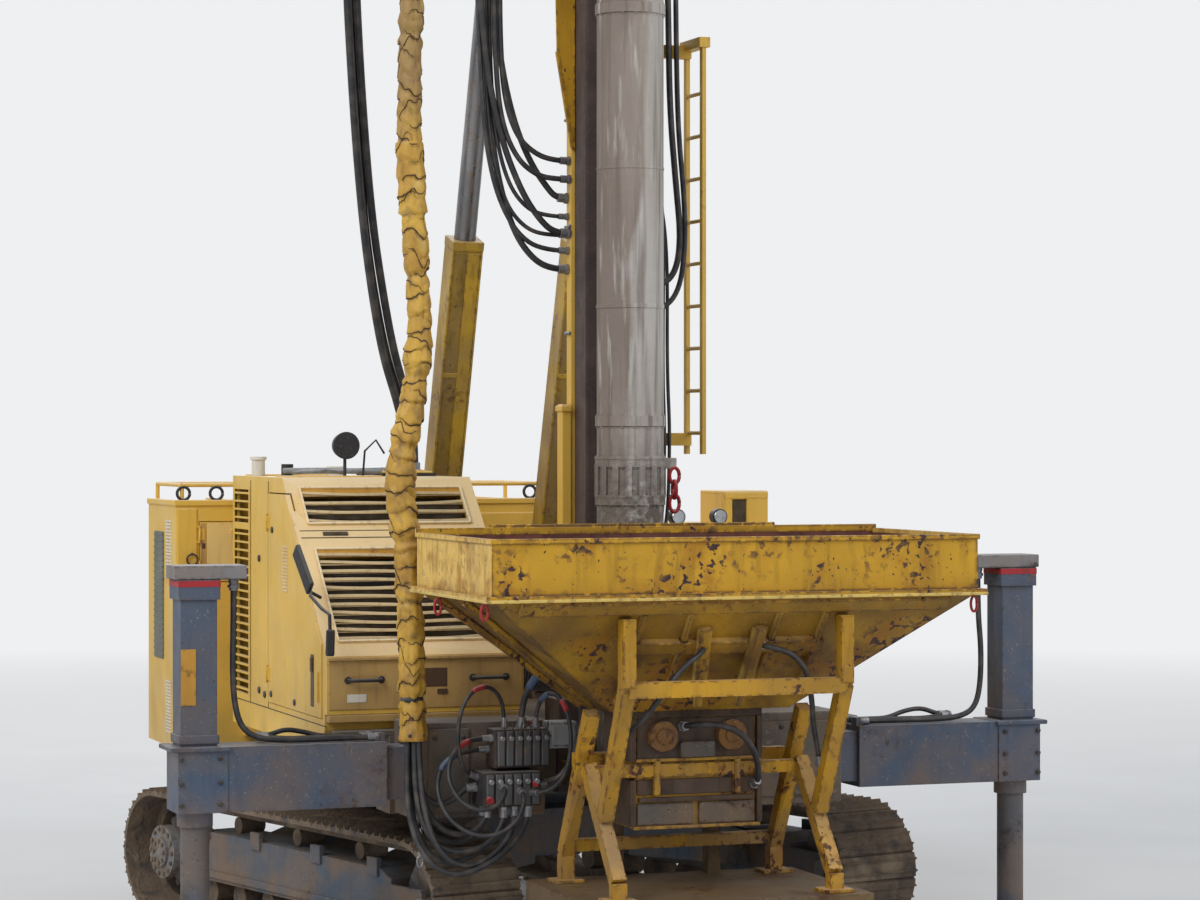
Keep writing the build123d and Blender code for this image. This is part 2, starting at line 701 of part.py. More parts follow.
# Skip: an open box rim over four sloping walls down to the throat
throat_half = 620
throat_front = -1500
throat_rear = -800
with BuildPart() as skip_shell:
    block((-skip_half, skip_half), (skip_front, skip_rear), (skip_lip, skip_high))
    with BuildSketch(Plane.XY.offset(skip_lip)) as wide:
        with Locations((0, beam_y + (skip_front + skip_rear) / 2)):
            Rectangle(2 * skip_half, skip_rear - skip_front)
    with BuildSketch(Plane.XY.offset(skip_throat)) as narrow:
        with Locations((0, beam_y + (throat_front + throat_rear) / 2)):
            Rectangle(2 * throat_half, throat_rear - throat_front)
    loft([wide.sketch.face(), narrow.sketch.face()], ruled=True)
    block((-skip_half + skip_wall, skip_half - skip_wall), (skip_front + skip_wall, skip_rear - skip_wall),
          (skip_lip, skip_high), mode=Mode.SUBTRACT)
    with BuildSketch(Plane.XY.offset(skip_lip)) as wide_inside:
        with Locations((0, beam_y + (skip_front + skip_rear) / 2)):
            Rectangle(2 * (skip_half - skip_wall), skip_rear - skip_front - 2 * skip_wall)
    with BuildSketch(Plane.XY.offset(skip_throat + skip_wall)) as narrow_inside:
        with Locations((0, beam_y + (throat_front + throat_rear) / 2)):
            Rectangle(2 * (throat_half - skip_wall), throat_rear - throat_front - 2 * skip_wall)
    loft([wide_inside.sketch.face(), narrow_inside.sketch.face()], ruled=True, mode=Mode.SUBTRACT)
    # Lip under the rim
    for x_span, y_span in (
        ((-skip_half - 45, skip_half + 45), (skip_front - 45, skip_front)),
        ((-skip_half - 45, -skip_half), (skip_front, skip_rear)),
        ((skip_half, skip_half + 45), (skip_front, skip_rear)),
    ):
        block(x_span, y_span, (skip_lip - 10, skip_lip + 25))
skip_shell.part.label = "skip_shell"
export_step(skip_shell.part, "parts/skip_shell.step")

# Frame under the skip: front posts that kink back to the struts, rear legs, cross bars and the chute
post_dy = -2120
# Y from the beam plane and Z of each joint of a side's members, top to bottom
front_post = ((post_dy, 2585), (post_dy, 2150), (-1720, 1300))
front_strut = ((-1400, 1600), (-1960, 920), (-1960, deck_high + seat))
rear_leg = ((-1460, 1950), (-960, 985), (-960, deck_high + seat))
bar_width = 90
with BuildPart() as skip_frame:
    for side in (-1, 1):
        for route in (front_post, front_strut, rear_leg):
            for (dy, z), (next_dy, next_z) in zip(route, route[1:]):
                flat_bar(place(side * leg_x, dy, z), place(side * leg_x, next_dy, next_z), bar_width, bar_width)
    block((-leg_x, leg_x), (post_dy - 45, post_dy + 45), (2090, 2190))
    block((-leg_x, leg_x), (-1440, -1360), (1520, 1600))
    block((-leg_x, leg_x), (-1000, -920), (1000, 1080))
    # Discharge chute and its flap housing
    block((-420, 420), (-1400, -900), (1180, skip_throat - seat))
    block((-leg_x, leg_x), (-1180, -1080), (1560, 1660))
skip_frame.part.label = "skip_frame"
export_step(skip_frame.part, "parts/skip_frame.step")

# Carriage: plates from the skip's back to the shoes on the leader's sides
with BuildPart() as skip_carriage:
    for side in (-1, 1):
        x_span = sorted((side * 340, side * 380))
        arm = ((skip_rear + seat, 2760), (skip_rear + seat, 3050), (leader_front + 210, 3050),
               (leader_front + 210, 2150), (leader_front + 30, 2150), (leader_front + 30, 2760))
        side_outline(arm, x_span)
        for z in (2200, 2880):
            block(sorted((side * (leader_half + clear), side * 340)), (leader_front + 40, leader_front + 200),
                  (z, z + 150))
skip_carriage.part.label = "skip_carriage"
export_step(skip_carriage.part, "parts/skip_carriage.step")

# Hoses and cables. Each route is (X, Y from the beam plane, Z), from where the hose leaves to where it ends.
hose_routes = {
    # The wrapped bundle that hangs beside the leader and runs over the saddle
    "hose_sleeve": (190, (
        (-1605, -350, 1700), (-1612, -346, 2280), (-1640, -354, 2960), (-1712, -350, 3480), (-1600, -346, 3960),
        (-1545, -352, 4420), (-1600, -355, 5080), (-1638, -346, 5880), (-1600, -350, 6900), (-1625, -354, 7900),
        (-1610, -345, 8800), (-1540, -290, 9560), (-1330, -80, 10060), (-900, 230, 10230), (-620, 400, 10120),
        (-475, 465, 9930), (-450, 470, 9760), (-450, 470, 9590.3))),
    # Hoses from the sleeve's cuff to the valve block
    "foot_hose_1": (40, (
        (-1605, -385, 1745), (-1607, -388, 1490), (-1592, -422, 1260), (-1540, -465, 1090), (-1440, -492, 985),
        (-1310, -500, 960), (-1170, -498, 985), (-1065, -480, 1060), (-1010, -455, 1150), (-1000, -445, 1205),
        (-1000, -445, 1249.7))),
    "foot_hose_2": (40, (
        (-1565, -355, 1745), (-1563, -359, 1520), (-1548, -388, 1320), (-1490, -415, 1170), (-1390, -430, 1090),
        (-1280, -425, 1065), (-1180, -415, 1095), (-1118, -403, 1160), (-1100, -400, 1210), (-1100, -400, 1249.7))),
    "foot_hose_3": (40, (
        (-1585, -310, 1745), (-1583, -312, 1560), (-1560, -318, 1400), (-1500, -325, 1300), (-1410, -330, 1262),
        (-1320, -326, 1290), (-1260, -322, 1340), (-1215, -320, 1372), (-1150.3, -320, 1372))),
    "foot_hose_4": (40, (
        (-1640, -350, 1745), (-1650, -352, 1480), (-1652, -400, 1230), (-1610, -500, 1000), (-1500, -570, 860),
        (-1350, -590, 820), (-1190, -590, 870), (-1040, -570, 950), (-920, -520, 1040), (-845, -460, 1130),
        (-830, -440, 1190), (-830, -440, 1249.7))),
    # Two cables from the hood's roof up to the hose arm
    "roof_cable_1": (60, (
        (-880, 2300, 3455.3), (-880, 2300, 3720), (-955, 2266, 3990), (-1078, 2195, 4300), (-1180, 2110, 4700),
        (-1290, 1985, 5220), (-1385, 1850, 5820), (-1470, 1715, 6500), (-1540, 1590, 7200), (-1605, 1430, 7950),
        (-1655, 1250, 8620), (-1690, 1120, 9060), (-1700, 1075, 9400))),
    "roof_cable_2": (60, (
        (-800, 2330, 3455.3), (-800, 2330, 3740), (-870, 2300, 4030), (-990, 2235, 4360), (-1096, 2150, 4780),
        (-1212, 2030, 5300), (-1310, 1890, 5920), (-1396, 1750, 6600), (-1463, 1625, 7300), (-1530, 1470, 8040),
        (-1590, 1300, 8690), (-1640, 1180, 9100), (-1650, 1140, 9400))),
    # Hoses that hang in loops beside the leader
    "mast_hose_1": (45, (
        (-930, 420, 9499.7), (-930, 420, 9000), (-945, 416, 8400), (-935, 422, 7750), (-905, 416, 7150),
        (-880, 422, 6650), (-820, 416, 6150), (-720, 424, 5750), (-580, 420, 5420), (-450, 424, 5240),
        (-340, 425, 5150), (-225.3, 425, 5150))),
    "mast_hose_2": (45, (
        (-860, 472, 9499.7), (-860, 472, 8950), (-875, 476, 8350), (-868, 471, 7700), (-850, 476, 7100),
        (-848, 471, 6500), (-810, 475, 5950), (-735, 471, 5480), (-620, 474, 5140), (-480, 468, 4960),
        (-340, 465, 4900), (-225.3, 465, 4900))),
    "mast_hose_3": (45, (
        (-790, 475, 9499.7), (-790, 475, 9020), (-800, 520, 8420), (-798, 526, 7800), (-770, 522, 7200),
        (-752, 527, 6700), (-690, 522, 6250), (-600, 520, 5900), (-490, 505, 5640), (-380, 490, 5480),
        (-310, 478, 5400), (-225.3, 478, 5400))),
    "string_hose_1": (45, (
        (200.3, 420, 9300), (330, 420, 9300), (440, 416, 9220), (500, 420, 8960), (492, 414, 8450),
        (508, 420, 7850), (496, 414, 7250), (512, 420, 6650), (520, 416, 6050), (560, 420, 5500),
        (590, 416, 5080), (545, 420, 4820), (430, 416, 4760), (320, 420, 4850), (200.3, 420, 4850))),
    "string_hose_2": (45, (
        (200.3, 410, 9120), (300, 410, 9120), (376, 408, 9050), (420, 410, 8820), (410, 406, 8340),
        (428, 410, 7760), (414, 406, 7160), (432, 410, 6560), (425, 406, 5980), (440, 410, 5560),
        (400, 406, 5280), (330, 410, 5175), (200.3, 410, 5175))),
    # Feed and return of the outrigger legs, held by each outrigger
    "outrigger_hose_left": (40, (
        (-2740, 0, 2779.7), (-2740, 0, 2480), (-2752, -20, 2190), (-2744, -40, 1950), (-2700, -60, 1790),
        (-2590, -80, 1722), (-2420, -60, 1704), (-2200, -76, 1705), (-1990, -70, 1706), (-1765.3, -70, 1706))),
    "outrigger_hose_right": (40, (
        (2740, 0, 2779.7), (2740, 0, 2470), (2756, -24, 2200), (2742, -38, 1940), (2690, -62, 1784),
        (2580, -78, 1721), (2410, -64, 1704), (2210, -74, 1705), (1980, -70, 1706), (1765.3, -70, 1706))),
}


def hose_tube(diameter, route):
    """A round tube along straight runs joined by arcs as large as the runs allow."""
    points = [place(*point) for point in route]
    radii = []
    for before, corner, after in zip(points, points[1:], points[2:]):
        turn = (corner - before).get_angle(after - corner)
        shorter = min((corner - before).length, (after - corner).length)
        radii.append(0.45 * shorter / tan(radians(turn) / 2))
    print("bend radii", [round(radius) for radius in radii])
    with BuildLine() as path:
        FilletPolyline(*points, radius=radii)
    with BuildSketch(Plane(origin=points[0], z_dir=points[1] - points[0])) as section:
        Circle(diameter / 2)
    sweep(section.sketch, path=path.line)


cuff_bore = 84
for name, (diameter, route) in hose_routes.items():
    with BuildPart() as hose:
        hose_tube(diameter, route)
        if name == "hose_sleeve":
            start = place(*route[0])
            round_bar(start - Vector(0, 0, 10), start + Vector(0, 0, 200), cuff_bore, mode=Mode.SUBTRACT)
    hose.part.label = name
    export_step(hose.part, f"parts/{name}.step")

# Engine hood
hood_profile = (
    (hood_front, hood_face_low),
    (hood_front, hood_face_high),
    (hood_top_front, hood_top),
    (hood_rear, hood_top),
    (hood_rear, hood_low),
    (hood_front + 60, hood_low),
    (hood_front + 60, hood_face_low),
)
hood_inside = (
    (hood_front + hood_wall, hood_face_low + hood_wall),
    (hood_front + hood_wall, hood_face_high - 15),
    (hood_top_front + 15, hood_top - hood_wall),
    (hood_rear - hood_wall, hood_top - hood_wall),
    (hood_rear - hood_wall, hood_low),
    (hood_front + 60 + hood_wall, hood_low),
    (hood_front + 60 + hood_wall, hood_face_low + hood_wall),
)
door_front = 420
door_rear = 1930
door_low = 1790
door_high = 3320
door_gap = 6
door_profile = (
    (door_front, door_low),
    (door_front, 2300),
    (door_front + 1010, door_high),
    (door_rear, door_high),
    (door_rear, door_low),
)
door_proud = 8
hood_hinge = (hood_left - door_proud - hinge_offset, door_rear - door_gap / 2, (2000, 3100))
slope_rise = hood_top - hood_face_high
slope_run = hood_top_front - hood_front
slope_angle = degrees(atan2(slope_rise, slope_run))
slope_length = (slope_rise ** 2 + slope_run ** 2) ** 0.5
hood_middle = (hood_left + hood_right) / 2
slope_plane = Plane(
    origin=place(hood_middle, hood_front, hood_face_high),
    x_dir=(1, 0, 0),
    z_dir=(0, -sin(radians(slope_angle)), cos(radians(slope_angle))),
)
# Bottom and top of each louvre panel up the slope, and its half width
louvre_panels = (
    ("lower", 130, 1010, 600),
    ("upper", 1260, 1620, 600),
)
with BuildPart() as hood_shell:
    side_outline(hood_profile, (hood_left, hood_right))
    side_outline(((hood_front + 160, skirt_low), (hood_rear, skirt_low), (hood_rear, hood_low),
                  (hood_front + 60, hood_low)), (hood_left, hood_left + hood_wall))
    side_outline(hood_inside, (hood_left + hood_wall, hood_right - hood_wall), mode=Mode.SUBTRACT)
    with BuildSketch(slope_plane) as windows:
        for name, low, high, half in louvre_panels:
            with Locations((0, (low + high) / 2)):
                Rectangle(2 * half, high - low)
    extrude(windows.sketch, amount=-120, mode=Mode.SUBTRACT)
    side_outline(door_profile, (hood_left - 1, hood_left + hood_wall + 1), mode=Mode.SUBTRACT)
    # Vertical louvre strip behind the door
    block((hood_left - 1, hood_left + hood_wall + 1), (2540, 3000), (1800, 3330), mode=Mode.SUBTRACT)
    hinge_frame(*hood_hinge, lug_x=(-5, hood_left - hood_hinge[0]), lug_y=(0, 18))
hood_shell.part.label = "hood_shell"
export_step(hood_shell.part, "parts/hood_shell.step")

slat_pitch = 80
slat_depth = 55
with BuildPart() as hood_louvres:
    for name, low, high, half in louvre_panels:
        count = int((high - low) / slat_pitch)
        pitch = (high - low) / count
        for number in range(count):
            height = low + (number + 0.5) * pitch
            origin = slope_plane.from_local_coords((0, height, -30))
            with BuildSketch(Plane(origin=origin, x_dir=(1, 0, 0), z_dir=(0, 0, 1))) as slat:
                Rectangle(2 * half - 1, slat_depth)
            extrude(slat.sketch, amount=8)
    side_slats = int((3330 - 1800) / 60)
    for number in range(side_slats):
        z = 1800 + (number + 0.5) * (3330 - 1800) / side_slats
        block((hood_left + 2, hood_left + hood_wall), (2540.3, 2999.7), (z - 5, z + 5))
hood_louvres.part.label = "hood_louvres"
export_step(hood_louvres.part, "parts/hood_louvres.step")

with BuildPart() as hood_door:
    door = (
        (door_front + door_gap, door_low + door_gap),
        (door_front + door_gap, 2300),
        (door_front + 1010, door_high - door_gap - 4),
        (door_rear - door_gap, door_high - door_gap - 4),
        (door_rear - door_gap, door_low + door_gap),
    )
    side_outline(door, (hood_left - door_proud, hood_left + 30))
    block((hood_left - 22, hood_left - door_proud), (door_front + 60, door_front + 95), (1900, 2110))
    hinge_door(*hood_hinge, leaf_x=(6, hinge_offset), leaf_y=(-40, 0))
hood_door.part.label = "hood_door"
export_step(hood_door.part, "parts/hood_door.step")

with BuildPart() as engine_block:
    block((-1800, -900), (900, 2450), (hood_low, 2750))
engine_block.part.label = "engine_block"
export_step(engine_block.part, "parts/engine_block.step")

# Rear cabinet, its door, and the counterweight behind it
cabinet_door_proud = 10
cabinet_hinge = (-2170 + door_gap / 2, cabinet_front - cabinet_door_proud - hinge_offset, (2700, 2970))
with BuildPart() as rear_cabinet:
    block((cabinet_left, cabinet_right), (cabinet_front, cabinet_rear), (frame_high + 20, cabinet_high))
    block((cabinet_left, -frame_half - 10), (cabinet_front, cabinet_rear), (cabinet_low, frame_high + 20))
    block((frame_half, 2300), (cabinet_front, cabinet_rear - 80), (frame_high + 20, 2750))
    block((frame_half, 2300), (cabinet_front, cabinet_rear - 80), (frame_high - 260, frame_high + 20))
    block((-2170, -1830), (cabinet_front - 1, cabinet_front + 500), (2600, 3070), mode=Mode.SUBTRACT)
    hinge_frame(*cabinet_hinge, lug_x=(-18, 0), lug_y=(-5, cabinet_front - cabinet_hinge[1]))
rear_cabinet.part.label = "rear_cabinet"
export_step(rear_cabinet.part, "parts/rear_cabinet.step")

with BuildPart() as cabinet_door:
    block((-2170 + door_gap, -1836), (cabinet_front - cabinet_door_proud, cabinet_front + 20), (2606, 3064))
    round_bar(place(-1900, cabinet_front - 34, 2990), place(-1900, cabinet_front - cabinet_door_proud, 2990), 22)
    hinge_door(*cabinet_hinge, leaf_x=(0, 40), leaf_y=(6, hinge_offset))
cabinet_door.part.label = "cabinet_door"
export_step(cabinet_door.part, "parts/cabinet_door.step")

with BuildPart() as counterweight:
    plan_outline(((-1500, cabinet_rear), (1500, cabinet_rear), (1500, cabinet_rear + 150),
                  (1150, weight_rear), (-1150, weight_rear), (-1500, cabinet_rear + 150)), (frame_low, 2650))
counterweight.part.label = "counterweight"
export_step(counterweight.part, "parts/counterweight.step")

with BuildPart() as exhaust:
    block((720, 850), (3420, 3560), (frame_high + 20, 3480))
    round_bar(place(785, 3490, 3480), place(785, 3490, 3740), 55)
exhaust.part.label = "exhaust"
export_step(exhaust.part, "parts/exhaust.step")

rail_radius = 16
with BuildPart() as handrails:
    rail_z = cabinet_high + 130
    corners = ((cabinet_left + 60, cabinet_front + 60), (cabinet_right - 60, cabinet_front + 60),
               (cabinet_right - 60, cabinet_rear - 60), (cabinet_left + 60, cabinet_rear - 60))
    for (x, dy), (next_x, next_dy) in zip(corners, corners[1:] + corners[:1]):
        round_bar(place(x, dy, rail_z), place(next_x, next_dy, rail_z), rail_radius)
    for x in (cabinet_left + 60, -1500, -600, cabinet_right - 60):
        for dy in (cabinet_front + 60, cabinet_rear - 60):
            round_bar(place(x, dy, cabinet_high), place(x, dy, rail_z), rail_radius)
handrails.part.label = "handrails"
export_step(handrails.part, "parts/handrails.step")

with BuildPart() as roof_fittings:
    block((-1150, -700), (2100, 2700), (hood_top, hood_top + 25))
    round_bar(place(-1740, 2500, hood_top), place(-1740, 2500, hood_top + 90), 45)
    round_bar(place(-1500, 1750, hood_top), place(-1500, 1750, hood_top + 150), 12)
    round_bar(place(-1500, 1720, hood_top + 230), place(-1500, 1780, hood_top + 230), 90)
roof_fittings.part.label = "roof_fittings"
export_step(roof_fittings.part, "parts/roof_fittings.step")

with BuildPart() as valve_block:
    block((-1150, -750), (-sleeve_half_depth - 260, -sleeve_half_depth), (1250, 1480))
    block((-1050, -680), (-sleeve_half_depth - 180, -sleeve_half_depth), (1500, 1760))
valve_block.part.label = "valve_block"
export_step(valve_block.part, "parts/valve_block.step")

# Operator's cab
window_low = 2050
window_high = 2900
doorway_front = cab_front + 350
cab_hinge = (cab_right + hinge_offset, doorway_front + door_gap / 2, (1700, 2700))
with BuildPart() as cab_shell:
    cab_profile = ((cab_front, cab_low), (cab_front - 60, 2000), (cab_front + 120, cab_high), (cab_rear, cab_high),
                   (cab_rear, cab_low))
    cab_inside = ((cab_front + cab_wall, cab_low + cab_wall), (cab_front - 10, 2000),
                  (cab_front + 160, cab_high - cab_wall), (cab_rear - cab_wall, cab_high - cab_wall),
                  (cab_rear - cab_wall, cab_low + cab_wall))
    side_outline(cab_profile, (cab_left, cab_right))
    side_outline(cab_inside, (cab_left + cab_wall, cab_right - cab_wall), mode=Mode.SUBTRACT)
    # Windscreen, rear window, left window and the doorway on the right
    block((cab_left + 90, cab_right - 90), (cab_front - 100, cab_front + 300), (1750, window_high),
          mode=Mode.SUBTRACT)
    block((cab_left + 130, cab_right - 130), (cab_rear - 60, cab_rear + 10), (window_low, window_high),
          mode=Mode.SUBTRACT)
    block((cab_left - 10, cab_left + 60), (cab_front + 350, cab_rear - 130), (window_low, window_high),
          mode=Mode.SUBTRACT)
    block((cab_right - 60, cab_right + 10), (doorway_front, cab_rear - 330), (cab_low + 80, window_high + 30),
          mode=Mode.SUBTRACT)
    hinge_frame(*cab_hinge, lug_x=(cab_right - cab_hinge[0], 5), lug_y=(-18, 0))
    block((cab_right - 370, cab_right - 20), (cab_front + 400, cab_front + 900), (cab_high, cab_high + 280))
cab_shell.part.label = "cab_shell"
export_step(cab_shell.part, "parts/cab_shell.step")

glass = 8
with BuildPart() as cab_glass:
    block((cab_left + 130, cab_right - 130), (cab_rear - 30, cab_rear - 30 + glass), (window_low, window_high))
    block((cab_left + 20, cab_left + 20 + glass), (cab_front + 350, cab_rear - 130), (window_low, window_high))
    side_outline(((cab_front - 35, 1750), (cab_front - 27, 1750), (cab_front - 27, 2000),
                  (cab_front + 128, window_high), (cab_front + 120, window_high), (cab_front - 35, 2000)),
                 (cab_left + 90, cab_right - 90))
cab_glass.part.label = "cab_glass"
export_step(cab_glass.part, "parts/cab_glass.step")

with BuildPart() as cab_door:
    block((cab_right - 40, cab_right), (doorway_front + door_gap, cab_rear - 336), (cab_low + 86, window_high + 24))
    block((cab_right - 50, cab_right + 10), (cab_front + 430, cab_rear - 420), (window_low, window_high - 60),
          mode=Mode.SUBTRACT)
    hinge_door(*cab_hinge, leaf_x=(-hinge_offset, -6), leaf_y=(0, 40))
cab_door.part.label = "cab_door"
export_step(cab_door.part, "parts/cab_door.step")

with BuildPart() as cab_door_glass:
    block((cab_right - 24, cab_right - 16), (cab_front + 430, cab_rear - 420), (window_low, window_high - 60))
cab_door_glass.part.label = "cab_door_glass"
export_step(cab_door_glass.part, "parts/cab_door_glass.step")

with BuildPart() as cab_seat:
    side_outline(((2350, 1850), (2350, 1960), (2800, 1940), (2900, 2500), (3000, 2500), (2930, 1840)),
                 (1200, 1700))
    block((1300, 1600), (2450, 2800), (cab_low + cab_wall, 1850))
cab_seat.part.label = "cab_seat"
export_step(cab_seat.part, "parts/cab_seat.step")
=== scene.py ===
"""The looks of the vibro replacement rig: finishes, hoses, louvre lips, skip stiffeners and small fittings."""

import bisect
import json
import math

import bmesh
import bpy
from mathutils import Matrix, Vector, noise


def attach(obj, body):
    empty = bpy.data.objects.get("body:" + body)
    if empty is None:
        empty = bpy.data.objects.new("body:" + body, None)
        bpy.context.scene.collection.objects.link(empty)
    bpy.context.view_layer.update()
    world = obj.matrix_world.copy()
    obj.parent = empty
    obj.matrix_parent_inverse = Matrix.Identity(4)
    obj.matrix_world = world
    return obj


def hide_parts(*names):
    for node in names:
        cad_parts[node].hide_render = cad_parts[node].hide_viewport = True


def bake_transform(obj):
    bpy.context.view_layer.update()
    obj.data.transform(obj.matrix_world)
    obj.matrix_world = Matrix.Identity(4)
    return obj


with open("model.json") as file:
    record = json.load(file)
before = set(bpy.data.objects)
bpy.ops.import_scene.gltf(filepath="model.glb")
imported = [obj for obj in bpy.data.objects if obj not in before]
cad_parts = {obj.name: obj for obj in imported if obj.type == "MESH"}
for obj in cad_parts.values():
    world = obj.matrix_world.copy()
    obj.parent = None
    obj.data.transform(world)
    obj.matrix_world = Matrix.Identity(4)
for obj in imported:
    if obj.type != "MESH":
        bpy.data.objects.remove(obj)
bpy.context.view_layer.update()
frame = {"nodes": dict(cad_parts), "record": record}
bpy.context.scene.view_settings.view_transform = "Standard"

# Metres. Lengths from front to rear are counted from the centre plane of the outrigger beams.
beam_y = -1.5392
slew_dy = 2.5
track_turn = math.radians(15)

# The photograph's camera
camera_place = (-7.643, -20.797, 3.7)
camera_azimuth = math.radians(-19.8)
camera_lens = 96
camera_sensor = 36
camera_shift_y = -10 / 1200


def at(x, dy, z):
    """A point whose Y is counted from the beam plane."""
    return Vector((x, beam_y + dy, z))


x_axis, y_axis, z_axis = Vector((1, 0, 0)), Vector((0, 1, 0)), Vector((0, 0, 1))


# ---------------------------------------------------------------- materials


class Nodes:
    """Short names for building one node tree."""

    # The colour sockets of a Mix node
    mix_inputs, mix_output = (6, 7), 2

    def __init__(self, name):
        self.material = bpy.data.materials.new(name)
        self.material.use_nodes = True
        self.tree = self.material.node_tree
        self.shader = self.tree.nodes["Principled BSDF"]
        self.object_place = self.node("ShaderNodeTexCoord").outputs["Object"]

    def node(self, kind, **settings):
        made = self.tree.nodes.new(kind)
        for name, value in settings.items():
            setattr(made, name, value)
        return made

    def link(self, source, target):
        self.tree.links.new(source, target)

    def noise(self, scale, detail=6, stretch=(1, 1, 1), distortion=0.0):
        """Noise in the row frame, from 0 to 1."""
        mapping = self.node("ShaderNodeMapping")
        mapping.inputs["Scale"].default_value = stretch
        self.link(self.object_place, mapping.inputs["Vector"])
        made = self.node("ShaderNodeTexNoise")
        for name, number in (("Scale", scale), ("Detail", detail), ("Distortion", distortion)):
            made.inputs[name].default_value = number
        self.link(mapping.outputs["Vector"], made.inputs["Vector"])
        return made.outputs["Fac"]

    def spread(self, value, low, high, to_low=0.0, to_high=1.0):
        """Maps low..high of a value to to_low..to_high, clamped."""
        mapped = self.node("ShaderNodeMapRange")
        for name, number in (("From Min", low), ("From Max", high), ("To Min", to_low), ("To Max", to_high)):
            mapped.inputs[name].default_value = number
        self.link(value, mapped.inputs["Value"])
        return mapped.outputs["Result"]

    def math(self, operation, first, second):
        made = self.node("ShaderNodeMath", operation=operation)
        for socket, value in zip(made.inputs, (first, second)):
            if isinstance(value, (int, float)):
                socket.default_value = value
            else:
                self.link(value, socket)
        return made.outputs[0]

    def mix(self, factor, first, second):
        """Mixes two colours; each is a colour or a socket."""
        made = self.node("ShaderNodeMix", data_type="RGBA")
        self.link(factor, made.inputs["Factor"])
        for number, value in zip(self.mix_inputs, (first, second)):
            if isinstance(value, tuple):
                made.inputs[number].default_value = (*value, 1)
            else:
                self.link(value, made.inputs[number])
        return made.outputs[self.mix_output]

    def patch(self, base, colour, low, high, amount, *pattern, **settings):
        """Lays a colour over the base where a noise passes from low to high, up to the amount."""
        return self.mix(self.spread(self.noise(*pattern, **settings), low, high, 0, amount), base, colour)

    def uneven(self, low, high, scale, detail):
        """A number that wanders from low to high over the surface."""
        return self.spread(self.noise(scale, detail), 0.3, 0.7, low, high)

    def height(self):
        """The height above the ground, in metres."""
        split = self.node("ShaderNodeSeparateXYZ")
        self.link(self.object_place, split.inputs["Vector"])
        return split.outputs["Z"]

    def edges(self, radius):
        """1 near a sharp edge and 0 away from it."""
        bevel = self.node("ShaderNodeBevel", samples=4)
        bevel.inputs["Radius"].default_value = radius
        normal = self.node("ShaderNodeNewGeometry").outputs["Normal"]
        dot = self.node("ShaderNodeVectorMath", operation="DOT_PRODUCT")
        self.link(bevel.outputs["Normal"], dot.inputs[0])
        self.link(normal, dot.inputs[1])
        return self.spread(dot.outputs["Value"], 1.0, 0.86)

    def bump(self, value, strength, distance):
        made = self.node("ShaderNodeBump")
        made.inputs["Strength"].default_value = strength
        made.inputs["Distance"].default_value = distance
        self.link(value, made.inputs["Height"])
        self.link(made.outputs["Normal"], self.shader.inputs["Normal"])

    def finish(self, colour, roughness, metallic=0.0):
        self.link(colour, self.shader.inputs["Base Color"])
        if isinstance(roughness, (int, float)):
            self.shader.inputs["Roughness"].default_value = roughness
        else:
            self.link(roughness, self.shader.inputs["Roughness"])
        self.shader.inputs["Metallic"].default_value = metallic
        return self.material


mud = (0.235, 0.15, 0.085)
dust = (0.42, 0.33, 0.22)
rust = (0.10, 0.038, 0.02)


def scaled(colour, factor):
    return tuple(c * factor for c in colour)


